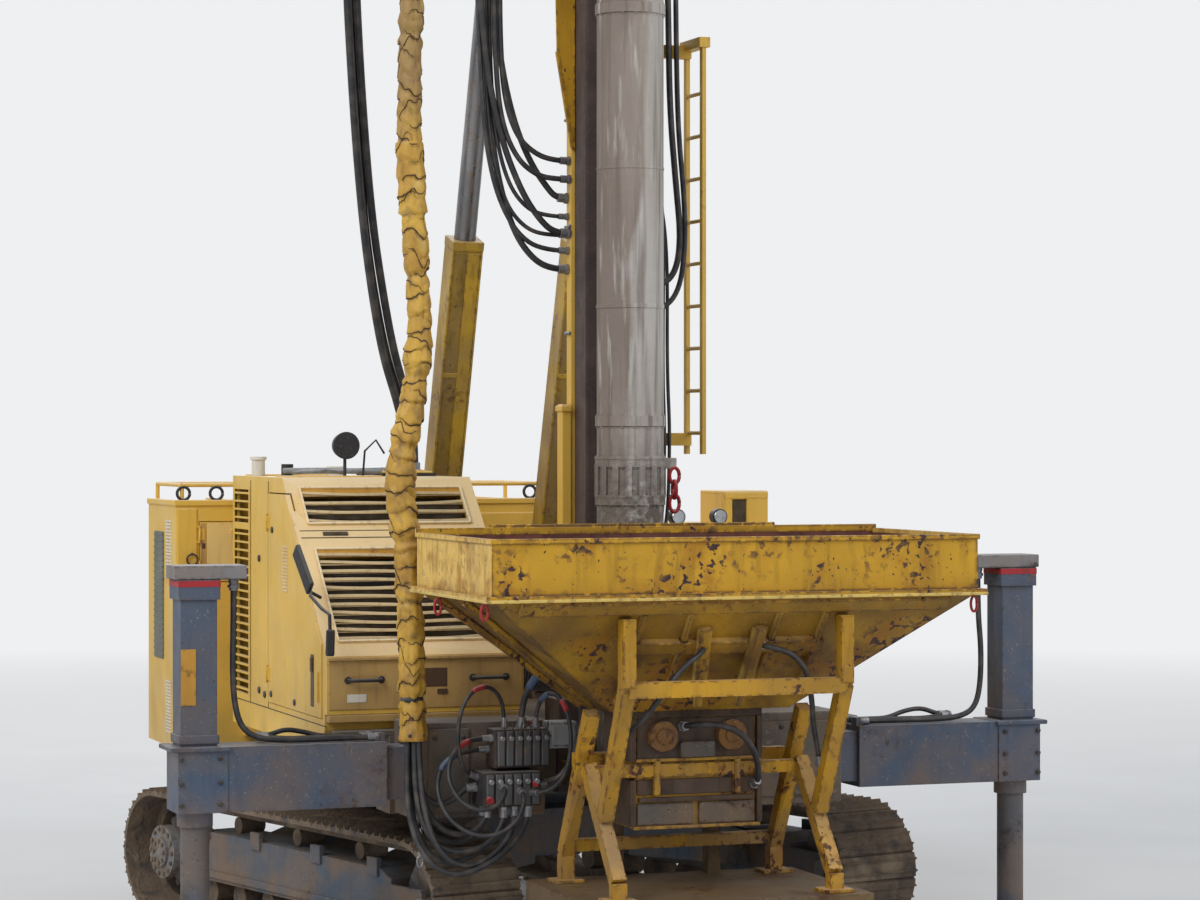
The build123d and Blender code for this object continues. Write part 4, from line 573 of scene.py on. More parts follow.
# ---------------------------------------------------------------- hoses
# Name: (diameter, body, body at its other end, route). A route's points are (X, Y from the beam plane, Z). The hoses
# that the CAD has too follow its tubes. The others are drawn here alone, between fittings and clear of the rest.
hose_routes = {
    "foot_hose_1": (0.040, "upper", "leader", (
        (-1.605, -0.385, 1.745), (-1.607, -0.388, 1.49), (-1.592, -0.422, 1.26), (-1.54, -0.465, 1.09),
        (-1.44, -0.492, 0.985), (-1.31, -0.5, 0.96), (-1.17, -0.498, 0.985), (-1.065, -0.48, 1.06),
        (-1.01, -0.455, 1.15), (-1.0, -0.445, 1.205), (-1.0, -0.445, 1.2497))),
    "foot_hose_2": (0.040, "upper", "leader", (
        (-1.565, -0.355, 1.745), (-1.563, -0.359, 1.52), (-1.548, -0.388, 1.32), (-1.49, -0.415, 1.17),
        (-1.39, -0.43, 1.09), (-1.28, -0.425, 1.065), (-1.18, -0.415, 1.095), (-1.118, -0.403, 1.16),
        (-1.1, -0.4, 1.21), (-1.1, -0.4, 1.2497))),
    "foot_hose_3": (0.040, "upper", "leader", (
        (-1.585, -0.31, 1.745), (-1.583, -0.312, 1.56), (-1.56, -0.318, 1.4), (-1.5, -0.325, 1.3),
        (-1.41, -0.33, 1.262), (-1.32, -0.326, 1.29), (-1.26, -0.322, 1.34), (-1.215, -0.32, 1.372),
        (-1.1503, -0.32, 1.372))),
    "foot_hose_4": (0.040, "upper", "leader", (
        (-1.64, -0.35, 1.745), (-1.65, -0.352, 1.48), (-1.652, -0.4, 1.23), (-1.61, -0.5, 1.0), (-1.5, -0.57, 0.86),
        (-1.35, -0.59, 0.82), (-1.19, -0.59, 0.87), (-1.04, -0.57, 0.95), (-0.92, -0.52, 1.04), (-0.845, -0.46, 1.13),
        (-0.83, -0.44, 1.19), (-0.83, -0.44, 1.2497))),
    "roof_cable_1": (0.060, "upper", "leader", (
        (-0.88, 2.3, 3.4553), (-0.88, 2.3, 3.72), (-0.955, 2.266, 3.99), (-1.078, 2.195, 4.3), (-1.18, 2.11, 4.7),
        (-1.29, 1.985, 5.22), (-1.385, 1.85, 5.82), (-1.47, 1.715, 6.5), (-1.54, 1.59, 7.2), (-1.605, 1.43, 7.95),
        (-1.655, 1.25, 8.62), (-1.69, 1.12, 9.06), (-1.7, 1.075, 9.4))),
    "roof_cable_2": (0.060, "upper", "leader", (
        (-0.8, 2.33, 3.4553), (-0.8, 2.33, 3.74), (-0.87, 2.3, 4.03), (-0.99, 2.235, 4.36), (-1.096, 2.15, 4.78),
        (-1.212, 2.03, 5.3), (-1.31, 1.89, 5.92), (-1.396, 1.75, 6.6), (-1.463, 1.625, 7.3), (-1.53, 1.47, 8.04),
        (-1.59, 1.3, 8.69), (-1.64, 1.18, 9.1), (-1.65, 1.14, 9.4))),
    "mast_hose_1": (0.045, "leader", None, (
        (-0.93, 0.42, 9.4997), (-0.93, 0.42, 9.0), (-0.945, 0.416, 8.4), (-0.935, 0.422, 7.75), (-0.905, 0.416, 7.15),
        (-0.88, 0.422, 6.65), (-0.82, 0.416, 6.15), (-0.72, 0.424, 5.75), (-0.58, 0.42, 5.42), (-0.45, 0.424, 5.24),
        (-0.34, 0.425, 5.15), (-0.2253, 0.425, 5.15))),
    "mast_hose_2": (0.045, "leader", None, (
        (-0.86, 0.472, 9.4997), (-0.86, 0.472, 8.95), (-0.875, 0.476, 8.35), (-0.868, 0.471, 7.7),
        (-0.85, 0.476, 7.1), (-0.848, 0.471, 6.5), (-0.81, 0.475, 5.95), (-0.735, 0.471, 5.48), (-0.62, 0.474, 5.14),
        (-0.48, 0.468, 4.96), (-0.34, 0.465, 4.9), (-0.2253, 0.465, 4.9))),
    "mast_hose_3": (0.045, "leader", None, (
        (-0.79, 0.475, 9.4997), (-0.79, 0.475, 9.02), (-0.8, 0.52, 8.42), (-0.798, 0.526, 7.8), (-0.77, 0.522, 7.2),
        (-0.752, 0.527, 6.7), (-0.69, 0.522, 6.25), (-0.6, 0.52, 5.9), (-0.49, 0.505, 5.64), (-0.38, 0.49, 5.48),
        (-0.31, 0.478, 5.4), (-0.2253, 0.478, 5.4))),
    "string_hose_1": (0.045, "leader", None, (
        (0.2003, 0.42, 9.3), (0.31, 0.42, 9.3), (0.435, 0.416, 9.19), (0.5, 0.42, 8.93), (0.492, 0.414, 8.45),
        (0.508, 0.42, 7.85), (0.496, 0.414, 7.25), (0.512, 0.42, 6.65), (0.52, 0.416, 6.05), (0.57, 0.42, 5.5),
        (0.605, 0.416, 5.14), (0.57, 0.42, 4.89), (0.45, 0.416, 4.79), (0.32, 0.42, 4.82), (0.2003, 0.42, 4.85))),
    "string_hose_2": (0.045, "leader", None, (
        (0.2003, 0.41, 9.12), (0.3, 0.41, 9.12), (0.376, 0.408, 9.05), (0.42, 0.41, 8.82), (0.41, 0.406, 8.34),
        (0.428, 0.41, 7.76), (0.414, 0.406, 7.16), (0.432, 0.41, 6.56), (0.425, 0.406, 5.98), (0.44, 0.41, 5.56),
        (0.4, 0.406, 5.28), (0.33, 0.41, 5.175), (0.2003, 0.41, 5.175))),
    "outrigger_hose_left": (0.040, "outrigger_left", None, (
        (-2.74, 0, 2.7797), (-2.74, 0, 2.48), (-2.752, -0.02, 2.19), (-2.744, -0.04, 1.95), (-2.7, -0.06, 1.79),
        (-2.59, -0.08, 1.722), (-2.42, -0.06, 1.704), (-2.2, -0.076, 1.705), (-1.99, -0.07, 1.706),
        (-1.7653, -0.07, 1.706))),
    "outrigger_hose_right": (0.040, "outrigger_right", None, (
        (2.74, 0, 2.7797), (2.74, 0, 2.47), (2.756, -0.024, 2.2), (2.742, -0.038, 1.94), (2.69, -0.062, 1.784),
        (2.58, -0.078, 1.721), (2.41, -0.064, 1.704), (2.21, -0.074, 1.705), (1.98, -0.07, 1.706),
        (1.7653, -0.07, 1.706))),
    "roof_cable_3": (0.050, "upper", "leader", (
        (-0.84, 2.37, 3.455), (-0.842, 2.37, 3.74), (-0.92, 2.33, 4.03), (-1.04, 2.26, 4.35), (-1.15, 2.17, 4.76),
        (-1.262, 2.05, 5.28), (-1.355, 1.91, 5.9), (-1.44, 1.78, 6.58), (-1.51, 1.65, 7.28), (-1.575, 1.49, 8.02),
        (-1.63, 1.31, 8.68), (-1.672, 1.14, 9.1), (-1.675, 1.09, 9.3), (-1.675, 1.09, 9.51))),
    "foot_hose_5": (0.040, "upper", "leader", (
        (-1.625, -0.32, 1.745), (-1.625, -0.32, 1.45), (-1.61, -0.345, 1.2), (-1.56, -0.38, 1.03),
        (-1.47, -0.4, 0.91), (-1.34, -0.395, 0.88), (-1.18, -0.38, 0.92), (-1.03, -0.34, 1.02), (-0.93, -0.31, 1.13),
        (-0.92, -0.3, 1.19), (-0.92, -0.3, 1.25))),
    "foot_hose_6": (0.040, "upper", "leader", (
        (-1.58, -0.4, 1.745), (-1.575, -0.405, 1.5), (-1.555, -0.46, 1.22), (-1.5, -0.53, 1.02), (-1.4, -0.56, 0.9),
        (-1.26, -0.56, 0.87), (-1.12, -0.545, 0.93), (-0.99, -0.52, 1.04), (-0.93, -0.46, 1.15), (-0.92, -0.43, 1.2),
        (-0.92, -0.43, 1.25))),
    "foot_hose_7": (0.040, "upper", "leader", (
        (-1.6, -0.3, 1.745), (-1.6, -0.3, 1.53), (-1.6, -0.305, 1.36), (-1.56, -0.3, 1.21), (-1.46, -0.285, 1.07),
        (-1.34, -0.275, 1.01), (-1.22, -0.27, 1.0), (-1.13, -0.27, 1.05), (-1.09, -0.27, 1.14), (-1.09, -0.27, 1.2),
        (-1.09, -0.27, 1.2497))),
    "valve_hose_1": (0.032, "upper", None, (
        (-1.05, -0.36, 1.7), (-1.13, -0.36, 1.7), (-1.26, -0.385, 1.685), (-1.37, -0.44, 1.6), (-1.41, -0.5, 1.46),
        (-1.36, -0.57, 1.32), (-1.25, -0.635, 1.25), (-1.13, -0.66, 1.265), (-1.05, -0.63, 1.34),
        (-1.03, -0.56, 1.39), (-1.03, -0.48, 1.39))),
    "valve_hose_2": (0.032, "upper", None, (
        (-1.05, -0.28, 1.62), (-1.14, -0.28, 1.62), (-1.29, -0.31, 1.6), (-1.42, -0.37, 1.52), (-1.47, -0.44, 1.37),
        (-1.42, -0.52, 1.2), (-1.29, -0.61, 1.09), (-1.13, -0.67, 1.08), (-0.99, -0.68, 1.16), (-0.92, -0.64, 1.27),
        (-0.9, -0.56, 1.35), (-0.9, -0.48, 1.36))),
    "valve_hose_3": (0.044, "upper", None, (
        (-0.84, -0.33, 1.76), (-0.84, -0.33, 1.86), (-0.81, -0.37, 2.03), (-0.71, -0.42, 2.16), (-0.57, -0.46, 2.15),
        (-0.47, -0.47, 2.01), (-0.45, -0.46, 1.82), (-0.48, -0.44, 1.62), (-0.55, -0.41, 1.46), (-0.64, -0.38, 1.39),
        (-0.75, -0.37, 1.38))),
    "valve_hose_4": (0.028, "upper", None, (
        (-0.96, -0.33, 1.76), (-0.96, -0.33, 1.84), (-0.99, -0.36, 1.97), (-1.09, -0.4, 2.06), (-1.22, -0.43, 2.03),
        (-1.3, -0.44, 1.9), (-1.32, -0.43, 1.74), (-1.3, -0.41, 1.58), (-1.245, -0.38, 1.47), (-1.15, -0.36, 1.44))),
    "valve_hose_5": (0.030, "upper", None, (
        (-0.75, -0.36, 1.76), (-0.75, -0.37, 1.84), (-0.74, -0.44, 1.96), (-0.7, -0.55, 2.02), (-0.65, -0.66, 1.96),
        (-0.62, -0.71, 1.82), (-0.62, -0.73, 1.64), (-0.65, -0.7, 1.47), (-0.72, -0.63, 1.37), (-0.8, -0.55, 1.34),
        (-0.82, -0.48, 1.34))),
    "mast_hose_4": (0.038, "leader", None, (
        (-0.7, 0.43, 9.5), (-0.7, 0.43, 9.1), (-0.725, 0.432, 8.4), (-0.735, 0.43, 7.7), (-0.745, 0.432, 7.0),
        (-0.74, 0.43, 6.45), (-0.71, 0.43, 6.08), (-0.62, 0.432, 5.82), (-0.48, 0.43, 5.7), (-0.34, 0.43, 5.66),
        (-0.2253, 0.43, 5.66))),
    "mast_hose_5": (0.038, "leader", None, (
        (-0.76, 0.42, 9.5), (-0.76, 0.42, 9.1), (-0.785, 0.425, 8.3), (-0.79, 0.42, 7.5), (-0.79, 0.425, 6.8),
        (-0.775, 0.42, 6.25), (-0.73, 0.425, 5.9), (-0.62, 0.42, 5.66), (-0.47, 0.425, 5.55), (-0.33, 0.42, 5.53),
        (-0.2253, 0.42, 5.53))),
    "mast_hose_6": (0.034, "leader", None, (
        (-0.99, 0.45, 9.5), (-0.99, 0.45, 9.05), (-0.985, 0.445, 8.3), (-0.95, 0.45, 7.5), (-0.9, 0.445, 6.8),
        (-0.875, 0.45, 6.2), (-0.84, 0.447, 5.75), (-0.75, 0.45, 5.38), (-0.6, 0.452, 5.13), (-0.42, 0.455, 5.03),
        (-0.2253, 0.455, 5.03))),
    "mast_hose_7": (0.030, "leader", None, (
        (-0.83, 0.46, 9.5), (-0.83, 0.46, 9.1), (-0.815, 0.465, 8.3), (-0.8, 0.46, 7.5), (-0.815, 0.465, 6.8),
        (-0.8, 0.46, 6.25), (-0.77, 0.462, 5.85), (-0.68, 0.46, 5.5), (-0.54, 0.462, 5.32), (-0.38, 0.46, 5.27),
        (-0.2253, 0.46, 5.27))),
    "mast_hose_8": (0.030, "leader", None, (
        (-0.92, 0.455, 9.5), (-0.92, 0.455, 9.1), (-0.91, 0.46, 8.3), (-0.875, 0.455, 7.5), (-0.85, 0.46, 6.8),
        (-0.84, 0.455, 6.2), (-0.8, 0.46, 5.72), (-0.7, 0.455, 5.36), (-0.56, 0.46, 5.19), (-0.4, 0.455, 5.135),
        (-0.2253, 0.455, 5.14))),
    "string_hose_3": (0.038, "leader", None, (
        (0.2003, 0.47, 8.9), (0.3, 0.47, 8.9), (0.42, 0.47, 8.86), (0.53, 0.465, 8.68), (0.565, 0.45, 8.3),
        (0.57, 0.43, 7.8), (0.565, 0.42, 7.2), (0.57, 0.418, 6.5), (0.585, 0.42, 5.9), (0.635, 0.42, 5.4),
        (0.645, 0.435, 5.05), (0.6, 0.44, 4.75), (0.46, 0.425, 4.62), (0.33, 0.42, 4.62), (0.2003, 0.42, 4.64))),
    "string_hose_4": (0.032, "leader", None, (
        (0.2003, 0.46, 8.6), (0.225, 0.46, 8.6), (0.27, 0.458, 8.59), (0.31, 0.452, 8.56), (0.336, 0.445, 8.51),
        (0.345, 0.438, 8.44), (0.347, 0.42, 8.1), (0.345, 0.42, 7.5), (0.35, 0.42, 6.9), (0.345, 0.42, 6.3),
        (0.346, 0.42, 5.9), (0.341, 0.42, 5.8), (0.326, 0.42, 5.735), (0.296, 0.42, 5.69), (0.25, 0.42, 5.665),
        (0.2003, 0.42, 5.66))),
    "string_hose_5": (0.030, "leader", None, (
        (0.2003, 0.46, 7.9), (0.24, 0.462, 7.87), (0.28, 0.468, 7.81), (0.315, 0.472, 7.72), (0.345, 0.474, 7.58),
        (0.37, 0.474, 7.4), (0.385, 0.468, 7.1), (0.386, 0.446, 6.8), (0.386, 0.443, 6.5), (0.39, 0.45, 6.2),
        (0.42, 0.475, 5.95), (0.465, 0.49, 5.65), (0.495, 0.492, 5.3), (0.5, 0.492, 4.9), (0.495, 0.49, 4.5),
        (0.49, 0.475, 4.1), (0.49, 0.443, 3.8), (0.485, 0.438, 3.5), (0.475, 0.438, 3.2), (0.44, 0.437, 3.02),
        (0.37, 0.436, 2.9), (0.29, 0.435, 2.87), (0.2003, 0.435, 2.87))),
    "string_hose_6": (0.026, "leader", None, (
        (0.2003, 0.44, 7.4), (0.23, 0.44, 7.38), (0.262, 0.44, 7.33), (0.288, 0.44, 7.24), (0.302, 0.44, 7.1),
        (0.305, 0.44, 6.8), (0.305, 0.44, 6.5), (0.31, 0.45, 6.25), (0.34, 0.478, 6.0), (0.4, 0.515, 5.75),
        (0.475, 0.528, 5.5), (0.53, 0.528, 5.2), (0.545, 0.525, 4.85), (0.54, 0.52, 4.45), (0.535, 0.495, 4.1),
        (0.53, 0.443, 3.8), (0.525, 0.44, 3.5), (0.515, 0.44, 3.2), (0.48, 0.44, 2.99), (0.42, 0.425, 2.85),
        (0.35, 0.41, 2.77), (0.28, 0.4, 2.74), (0.2003, 0.4, 2.74))),
    "beam_hose_left_1": (0.034, "outrigger_left", None, (
        (-2.56, 0.08, 1.72), (-2.48, 0.08, 1.715), (-2.36, 0.05, 1.702), (-2.22, 0.09, 1.701), (-2.08, 0.06, 1.702),
        (-1.93, 0.09, 1.701), (-1.84, 0.08, 1.702), (-1.7653, 0.08, 1.702))),
    "beam_hose_left_2": (0.034, "outrigger_left", None, (
        (-2.56, 0.12, 1.72), (-2.48, 0.12, 1.72), (-2.36, 0.13, 1.76), (-2.24, 0.14, 1.74), (-2.1, 0.125, 1.703),
        (-1.95, 0.14, 1.702), (-1.85, 0.135, 1.702), (-1.7653, 0.135, 1.702))),
    "beam_hose_right_1": (0.034, "outrigger_right", None, (
        (2.56, 0.08, 1.72), (2.48, 0.08, 1.715), (2.34, 0.05, 1.702), (2.2, 0.1, 1.701), (2.06, 0.06, 1.702),
        (1.92, 0.09, 1.701), (1.84, 0.08, 1.702), (1.7653, 0.08, 1.702))),
    "beam_hose_right_2": (0.034, "outrigger_right", None, (
        (2.56, 0.12, 1.72), (2.48, 0.12, 1.72), (2.36, 0.14, 1.77), (2.22, 0.15, 1.75), (2.08, 0.13, 1.703),
        (1.95, 0.14, 1.702), (1.85, 0.135, 1.702), (1.7653, 0.135, 1.702))),
    "skip_hose_1": (0.036, "skip", None, (
        (-0.16, -1.91, 2.4), (-0.17, -1.99, 2.385), (-0.22, -2.04, 2.35), (-0.34, -2.07, 2.28), (-0.47, -2.07, 2.12),
        (-0.57, -2.02, 1.97), (-0.66, -1.93, 1.86), (-0.71, -1.84, 1.72), (-0.72, -1.8, 1.6))),
    "skip_hose_2": (0.036, "skip", None, (
        (0.22, -1.91, 2.4), (0.235, -1.99, 2.39), (0.29, -2.05, 2.38), (0.4, -2.08, 2.34), (0.5, -2.06, 2.24),
        (0.555, -2.02, 2.06), (0.6, -1.94, 1.88), (0.67, -1.85, 1.72), (0.71, -1.8, 1.6))),
    "skip_hose_3": (0.040, "skip", None, (
        (-0.1, -1.41, 1.84), (-0.1, -1.52, 1.85), (-0.03, -1.61, 1.87), (0.1, -1.64, 1.86), (0.24, -1.61, 1.8),
        (0.34, -1.56, 1.7), (0.4, -1.51, 1.57), (0.41, -1.48, 1.47), (0.4, -1.41, 1.44))),
}
sleeve_route = (
    (-1.605, -0.35, 1.7), (-1.612, -0.346, 2.28), (-1.64, -0.354, 2.96), (-1.712, -0.35, 3.48), (-1.6, -0.346, 3.96),
    (-1.545, -0.352, 4.42), (-1.6, -0.355, 5.08), (-1.638, -0.346, 5.88), (-1.6, -0.35, 6.9), (-1.625, -0.354, 7.9),
    (-1.61, -0.345, 8.8), (-1.54, -0.29, 9.56), (-1.33, -0.08, 10.06), (-0.9, 0.23, 10.23), (-0.62, 0.4, 10.12),
    (-0.475, 0.465, 9.93), (-0.45, 0.47, 9.76), (-0.45, 0.47, 9.5903))


def spline_points(name, route, step=6):
    """Points read from the route's smooth spline."""
    curve = bpy.data.curves.new(name, "CURVE")
    curve.dimensions = "3D"
    curve.resolution_u = step
    spline = curve.splines.new("NURBS")
    spline.points.add(len(route) - 1)
    for point, place in zip(spline.points, route):
        point.co = (*at(*place), 1)
    spline.order_u = 3
    spline.use_endpoint_u = True
    holder = add_object(name, curve)
    bpy.context.view_layer.update()
    mesh = bpy.data.meshes.new_from_object(holder)
    points = [v.co.copy() for v in mesh.vertices]
    bpy.data.objects.remove(holder)
    bpy.data.meshes.remove(mesh)
    return points


def lay_hose(name, diameter, body, other, route):
    """A hose along its spline, on its body; one with another body at its other end is left on no body, with its place
    baked in.
    """
    points = spline_points(name + "_line", route)
    hose = add_mesh(name + "_skin", body, "hose_black",
                    lambda shape: tube_into(shape, points, diameter / 2, 14), smooth=True)
    if other:
        hose.parent = None
        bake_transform(hose)
    if name in frame["nodes"]:
        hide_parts(name)
    return points


hose_points = {name: lay_hose(name, *row) for name, row in hose_routes.items()}


def ferrules(body, ends):
    """Crimped sleeves and hexagon nuts on hose ends: rows of (end, a point further along, diameter)."""
    sleeve_and_nut = ((0.02, 0.075, 0.72, 12), (0.001, 0.024, 0.88, 6))

    def build(shape):
        for end, inner, diameter in ends:
            along = (inner - end).normalized()
            for near, far, swell, sides in sleeve_and_nut:
                tube_into(shape, [end + along * near, end + along * far], diameter * swell, sides)
    add_mesh(f"hose_ferrules_{body}", body, "bare_steel", build, bevel=0.002)


hose_ends = {body: [] for body in ("upper", "leader", "outrigger_left", "outrigger_right", "skip")}
for name, (diameter, body, other, route) in hose_routes.items():
    points = hose_points[name]
    first, last = (points[0], points[2], diameter), (points[-1], points[-3], diameter)
    if other is None:
        hose_ends[body] += [first, last]
    elif name.startswith("roof"):
        hose_ends[body].append(first)
        hose_ends[other].append(last)
    else:
        # The upper ends of the foot hoses are hidden in the wrapped bundle
        hose_ends[body].append(last)
for body, ends in hose_ends.items():
    ferrules(body, ends)


def hose_marks(name, look, rows):
    """Coloured protective sleeves on the upper body's hoses: rows of (hose, first point, last point)."""
    def build(shape):
        for hose, first, last in rows:
            tube_into(shape, hose_points[hose][first:last], hose_routes[hose][0] * 0.62, 14)
    add_mesh(name, "upper", look, build, smooth=True)


hose_marks("hose_marks_red", "red_wrap", [("valve_hose_1", 8, 14), ("valve_hose_4", 18, 24),
                                          ("valve_hose_5", 22, 27)])
hose_marks("hose_marks_blue", "blue_wrap", [("valve_hose_2", 10, 18), ("valve_hose_3", 10, 30),
                                            ("valve_hose_5", 10, 16)])

# The wrapped bundle: cloth wound round it in two spirals, with pinches where it is taped
sleeve_points = spline_points("sleeve_line", sleeve_route, 60)
sleeve_frames = frame_along(sleeve_points)
sleeve_along = [0.0]
for a, b in zip(sleeve_points, sleeve_points[1:]):
    sleeve_along.append(sleeve_along[-1] + (b - a).length)
# Each spiral: its pitch, its tilt and how deep its fold is; a fold rises over a small share of each turn
spirals, fold_rise = ((0.125, 0.34, 0.15), (0.19, -0.5, 0.09)), 0.12
# Heights where the wrap is taped, where it bulges and how far, and where it lies double
taped = (1.98, 2.62, 3.03, 3.65, 4.12, 4.80, 6.4, 7.2, 8.3)
bulges = ((5.04, 0.018), (4.29, 0.020), (3.45, 0.014), (2.45, 0.008))
double_low, double_high = 5.2, 5.68
cuff_foot, cuff_top = 1.7, 1.84
sleeve_least, sleeve_most = 0.045, 0.108


def bulge(offset, width):
    """A soft swelling: 1 at its middle, fading over the width."""
    return math.exp(-((offset / width) ** 2))


def sleeve_size(height):
    """The bundle's mean radius: fuller where its spare length is folded in."""
    return 0.074 + 0.016 * bulge(height - 3.3, 0.75) + 0.008 * bulge(height - 2.0, 0.5)


def wrap_place(run, angle):
    """A place for the wrap's noise, and how far the cloth is shifted and leans there."""
    around = Vector((math.cos(angle) * 0.5, math.sin(angle) * 0.5, run))
    warp = 0.5 * noise.noise(around * 1.9) + 0.12 * noise.noise(around * 5)
    return around, warp, math.sin(1.7 * run) + 0.4


def sleeve_surface(number, angle):
    """The wrap's radius at a point of the line and an angle round it."""
    run, height = sleeve_along[number], sleeve_points[number].z
    around, warp, lean = wrap_place(run, angle)
    radius = sleeve_size(height) * 0.90
    for pitch, tilt, depth in spirals:
        turn = (run / pitch + tilt * lean * math.sin(angle + 0.8 * run) + warp) % 1
        fold = turn / fold_rise if turn < fold_rise else (1 - turn) / (1 - fold_rise)
        radius += sleeve_size(height) * depth * fold ** 0.7
    radius += 0.010 * noise.noise(around * 4.5) + 0.005 * noise.noise(around * 11)
    for z, swell in bulges:
        radius += swell * bulge(height - z, 0.085) * (0.6 + 0.4 * math.sin(angle + 3 * z))
    if double_low < height < double_high:
        radius += 0.014
    for z in taped:
        radius += 0.006 * bulge(height - z - 0.08, 0.05) - 0.015 * bulge(height - z, 0.028)
    if height < cuff_top and run < 1:
        flare = 1 - (height - cuff_foot) / (cuff_top - cuff_foot)
        radius += 0.012 * flare * (1 + 0.5 * math.sin(5 * angle))
    return max(sleeve_least, min(radius, sleeve_most))


def build_creases(shape):
    """Dark lines in the folds of the wrap."""
    steps = 24
    for (pitch, tilt, depth), side in zip(spirals, (1, -1)):
        for k in range(1, int(sleeve_along[-1] / pitch)):
            mark = noise.noise(Vector((k * 0.37, side * 5.0, 1.0)))
            start, span = 2 * math.pi * (k * 0.381 % 1), 2 * math.pi * (0.55 + 0.35 * mark)
            line, run = [], k * pitch
            for j in range(steps + 1):
                angle = start + span * j / steps
                # The fold's place depends on itself through the noise, so it is found in three rounds
                for _ in range(3):
                    around, warp, lean = wrap_place(run, angle)
                    run = pitch * (k - tilt * lean * math.sin(angle + 0.8 * run) - warp)
                number = min(len(sleeve_points) - 2, max(1, bisect.bisect(sleeve_along, run)))
                across, upward = sleeve_frames[number]
                reach = sleeve_surface(number, angle) + 0.0005
                line.append(sleeve_points[number] + across * math.cos(angle) * reach + upward * math.sin(angle) * reach)
            thick = 0.0055 + 0.003 * mark if side > 0 else 0.004
            tube_into(shape, line, lambda i, angle: 0.0008 + thick * math.sin(math.pi * i / steps) ** 0.6, 4)


def build_tapes(shape):
    """Two dark tapes round the wrap."""
    for z in (1.98, 7.2):
        middle = min(range(len(sleeve_points) // 2), key=lambda k: abs(sleeve_points[k].z - z))
        tube_into(shape, sleeve_points[middle - 1:middle + 2],
                  lambda k, angle: sleeve_surface(middle, angle) + 0.004, 32)


sleeve = add_mesh("hose_sleeve_skin", "leader", "sleeve_yellow",
                  lambda shape: tube_into(shape, sleeve_points, sleeve_surface, 44), smooth=True)
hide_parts("hose_sleeve")
add_mesh("sleeve_creases", "leader", "crease_dark", build_creases, smooth=True)
add_mesh("sleeve_tapes", "leader", "hose_black", build_tapes, smooth=True)
rods("cuff_eyelets", "leader", "eyelet_black", [pin(x, (-0.424, -0.442), 1.74, 0.012) for x in (-1.65, -1.56)], 12)

# ---------------------------------------------------------------- camera, light and floor

camera_data = bpy.data.cameras.new("photo_camera")
camera_data.lens = camera_lens
camera_data.sensor_width = camera_sensor
camera_data.shift_y = camera_shift_y
camera_data.clip_end = 300
camera = add_object("photo_camera", camera_data)
camera.location = at(*camera_place)
camera.rotation_euler = (math.radians(90), 0, camera_azimuth)
bpy.context.scene.camera = camera

# Rays that the camera or a reflection sends out see a plain white, and the rest a pale blue sky
world = bpy.data.worlds.new("studio")
bpy.context.scene.world = world
world.use_nodes = True
tree = world.node_tree
background = tree.nodes["Background"]
background.inputs["Color"].default_value = (0.80, 0.84, 0.90, 1)
background.inputs["Strength"].default_value = 0.55
white = tree.nodes.new("ShaderNodeBackground")
background_white = (0.86, 0.87, 0.88, 1)
white.inputs["Color"].default_value = background_white
white.inputs["Strength"].default_value = 1.0
choice = tree.nodes.new("ShaderNodeMixShader")
ray = tree.nodes.new("ShaderNodeLightPath")
seen = tree.nodes.new("ShaderNodeMath")
seen.operation = "MAXIMUM"
for source, target in (
    (ray.outputs["Is Camera Ray"], seen.inputs[0]), (ray.outputs["Is Glossy Ray"], seen.inputs[1]),
    (seen.outputs[0], choice.inputs[0]), (background.outputs[0], choice.inputs[1]),
    (white.outputs[0], choice.inputs[2]), (choice.outputs[0], tree.nodes["World Output"].inputs["Surface"]),
):
    tree.links.new(source, target)

lamp_size = 14
for name, place, target, power in (
    ("key", (-19, -12, 20), (0, 1, 3), 3500),
    ("fill", (12, -17, 14), (0, 1, 3), 1300),
    ("rear", (2, 20, 18), (0, 2, 4), 1300),
):
    lamp_data = bpy.data.lights.new(name, "AREA")
    lamp_data.size = lamp_size
    lamp_data.energy = power
    lamp = add_object(name, lamp_data)
    lamp.location = place
    lamp.rotation_euler = (Vector(target) - Vector(place)).to_track_quat("-Z", "Y").to_euler()

floor_half = 80
floor_mesh = bpy.data.meshes.new("floor")
floor_mesh.from_pydata([(x * floor_half, y * floor_half, 0) for x, y in ((-1, -1), (1, -1), (1, 1), (-1, 1))], [],
                       [(0, 1, 2, 3)])
floor = add_object("floor", floor_mesh)
floor_nodes = Nodes("floor_paint")
floor_patches = floor_nodes.spread(floor_nodes.noise(0.6, 4), 0.3, 0.7)
floor_colour = floor_nodes.mix(floor_patches, (0.72, 0.72, 0.715), (0.76, 0.76, 0.755))
floor_mesh.materials.append(floor_nodes.finish(floor_colour, 0.9))
# Away from the machine the floor fades into the white of the background
away = floor_nodes.node("ShaderNodeVectorMath", operation="LENGTH")
floor_nodes.link(floor_nodes.object_place, away.inputs[0])
path_kind = floor_nodes.node("ShaderNodeLightPath")
distance = floor_nodes.spread(away.outputs["Value"], 9, 34)
fade = floor_nodes.math("MULTIPLY", distance, path_kind.outputs["Is Camera Ray"])
glow = floor_nodes.node("ShaderNodeEmission")
glow.inputs["Color"].default_value = background_white
blend_in = floor_nodes.node("ShaderNodeMixShader")
floor_nodes.link(fade, blend_in.inputs[0])
floor_nodes.link(floor_nodes.shader.outputs[0], blend_in.inputs[1])
floor_nodes.link(glow.outputs[0], blend_in.inputs[2])
floor_nodes.link(blend_in.outputs[0], floor_nodes.tree.nodes["Material Output"].inputs["Surface"])

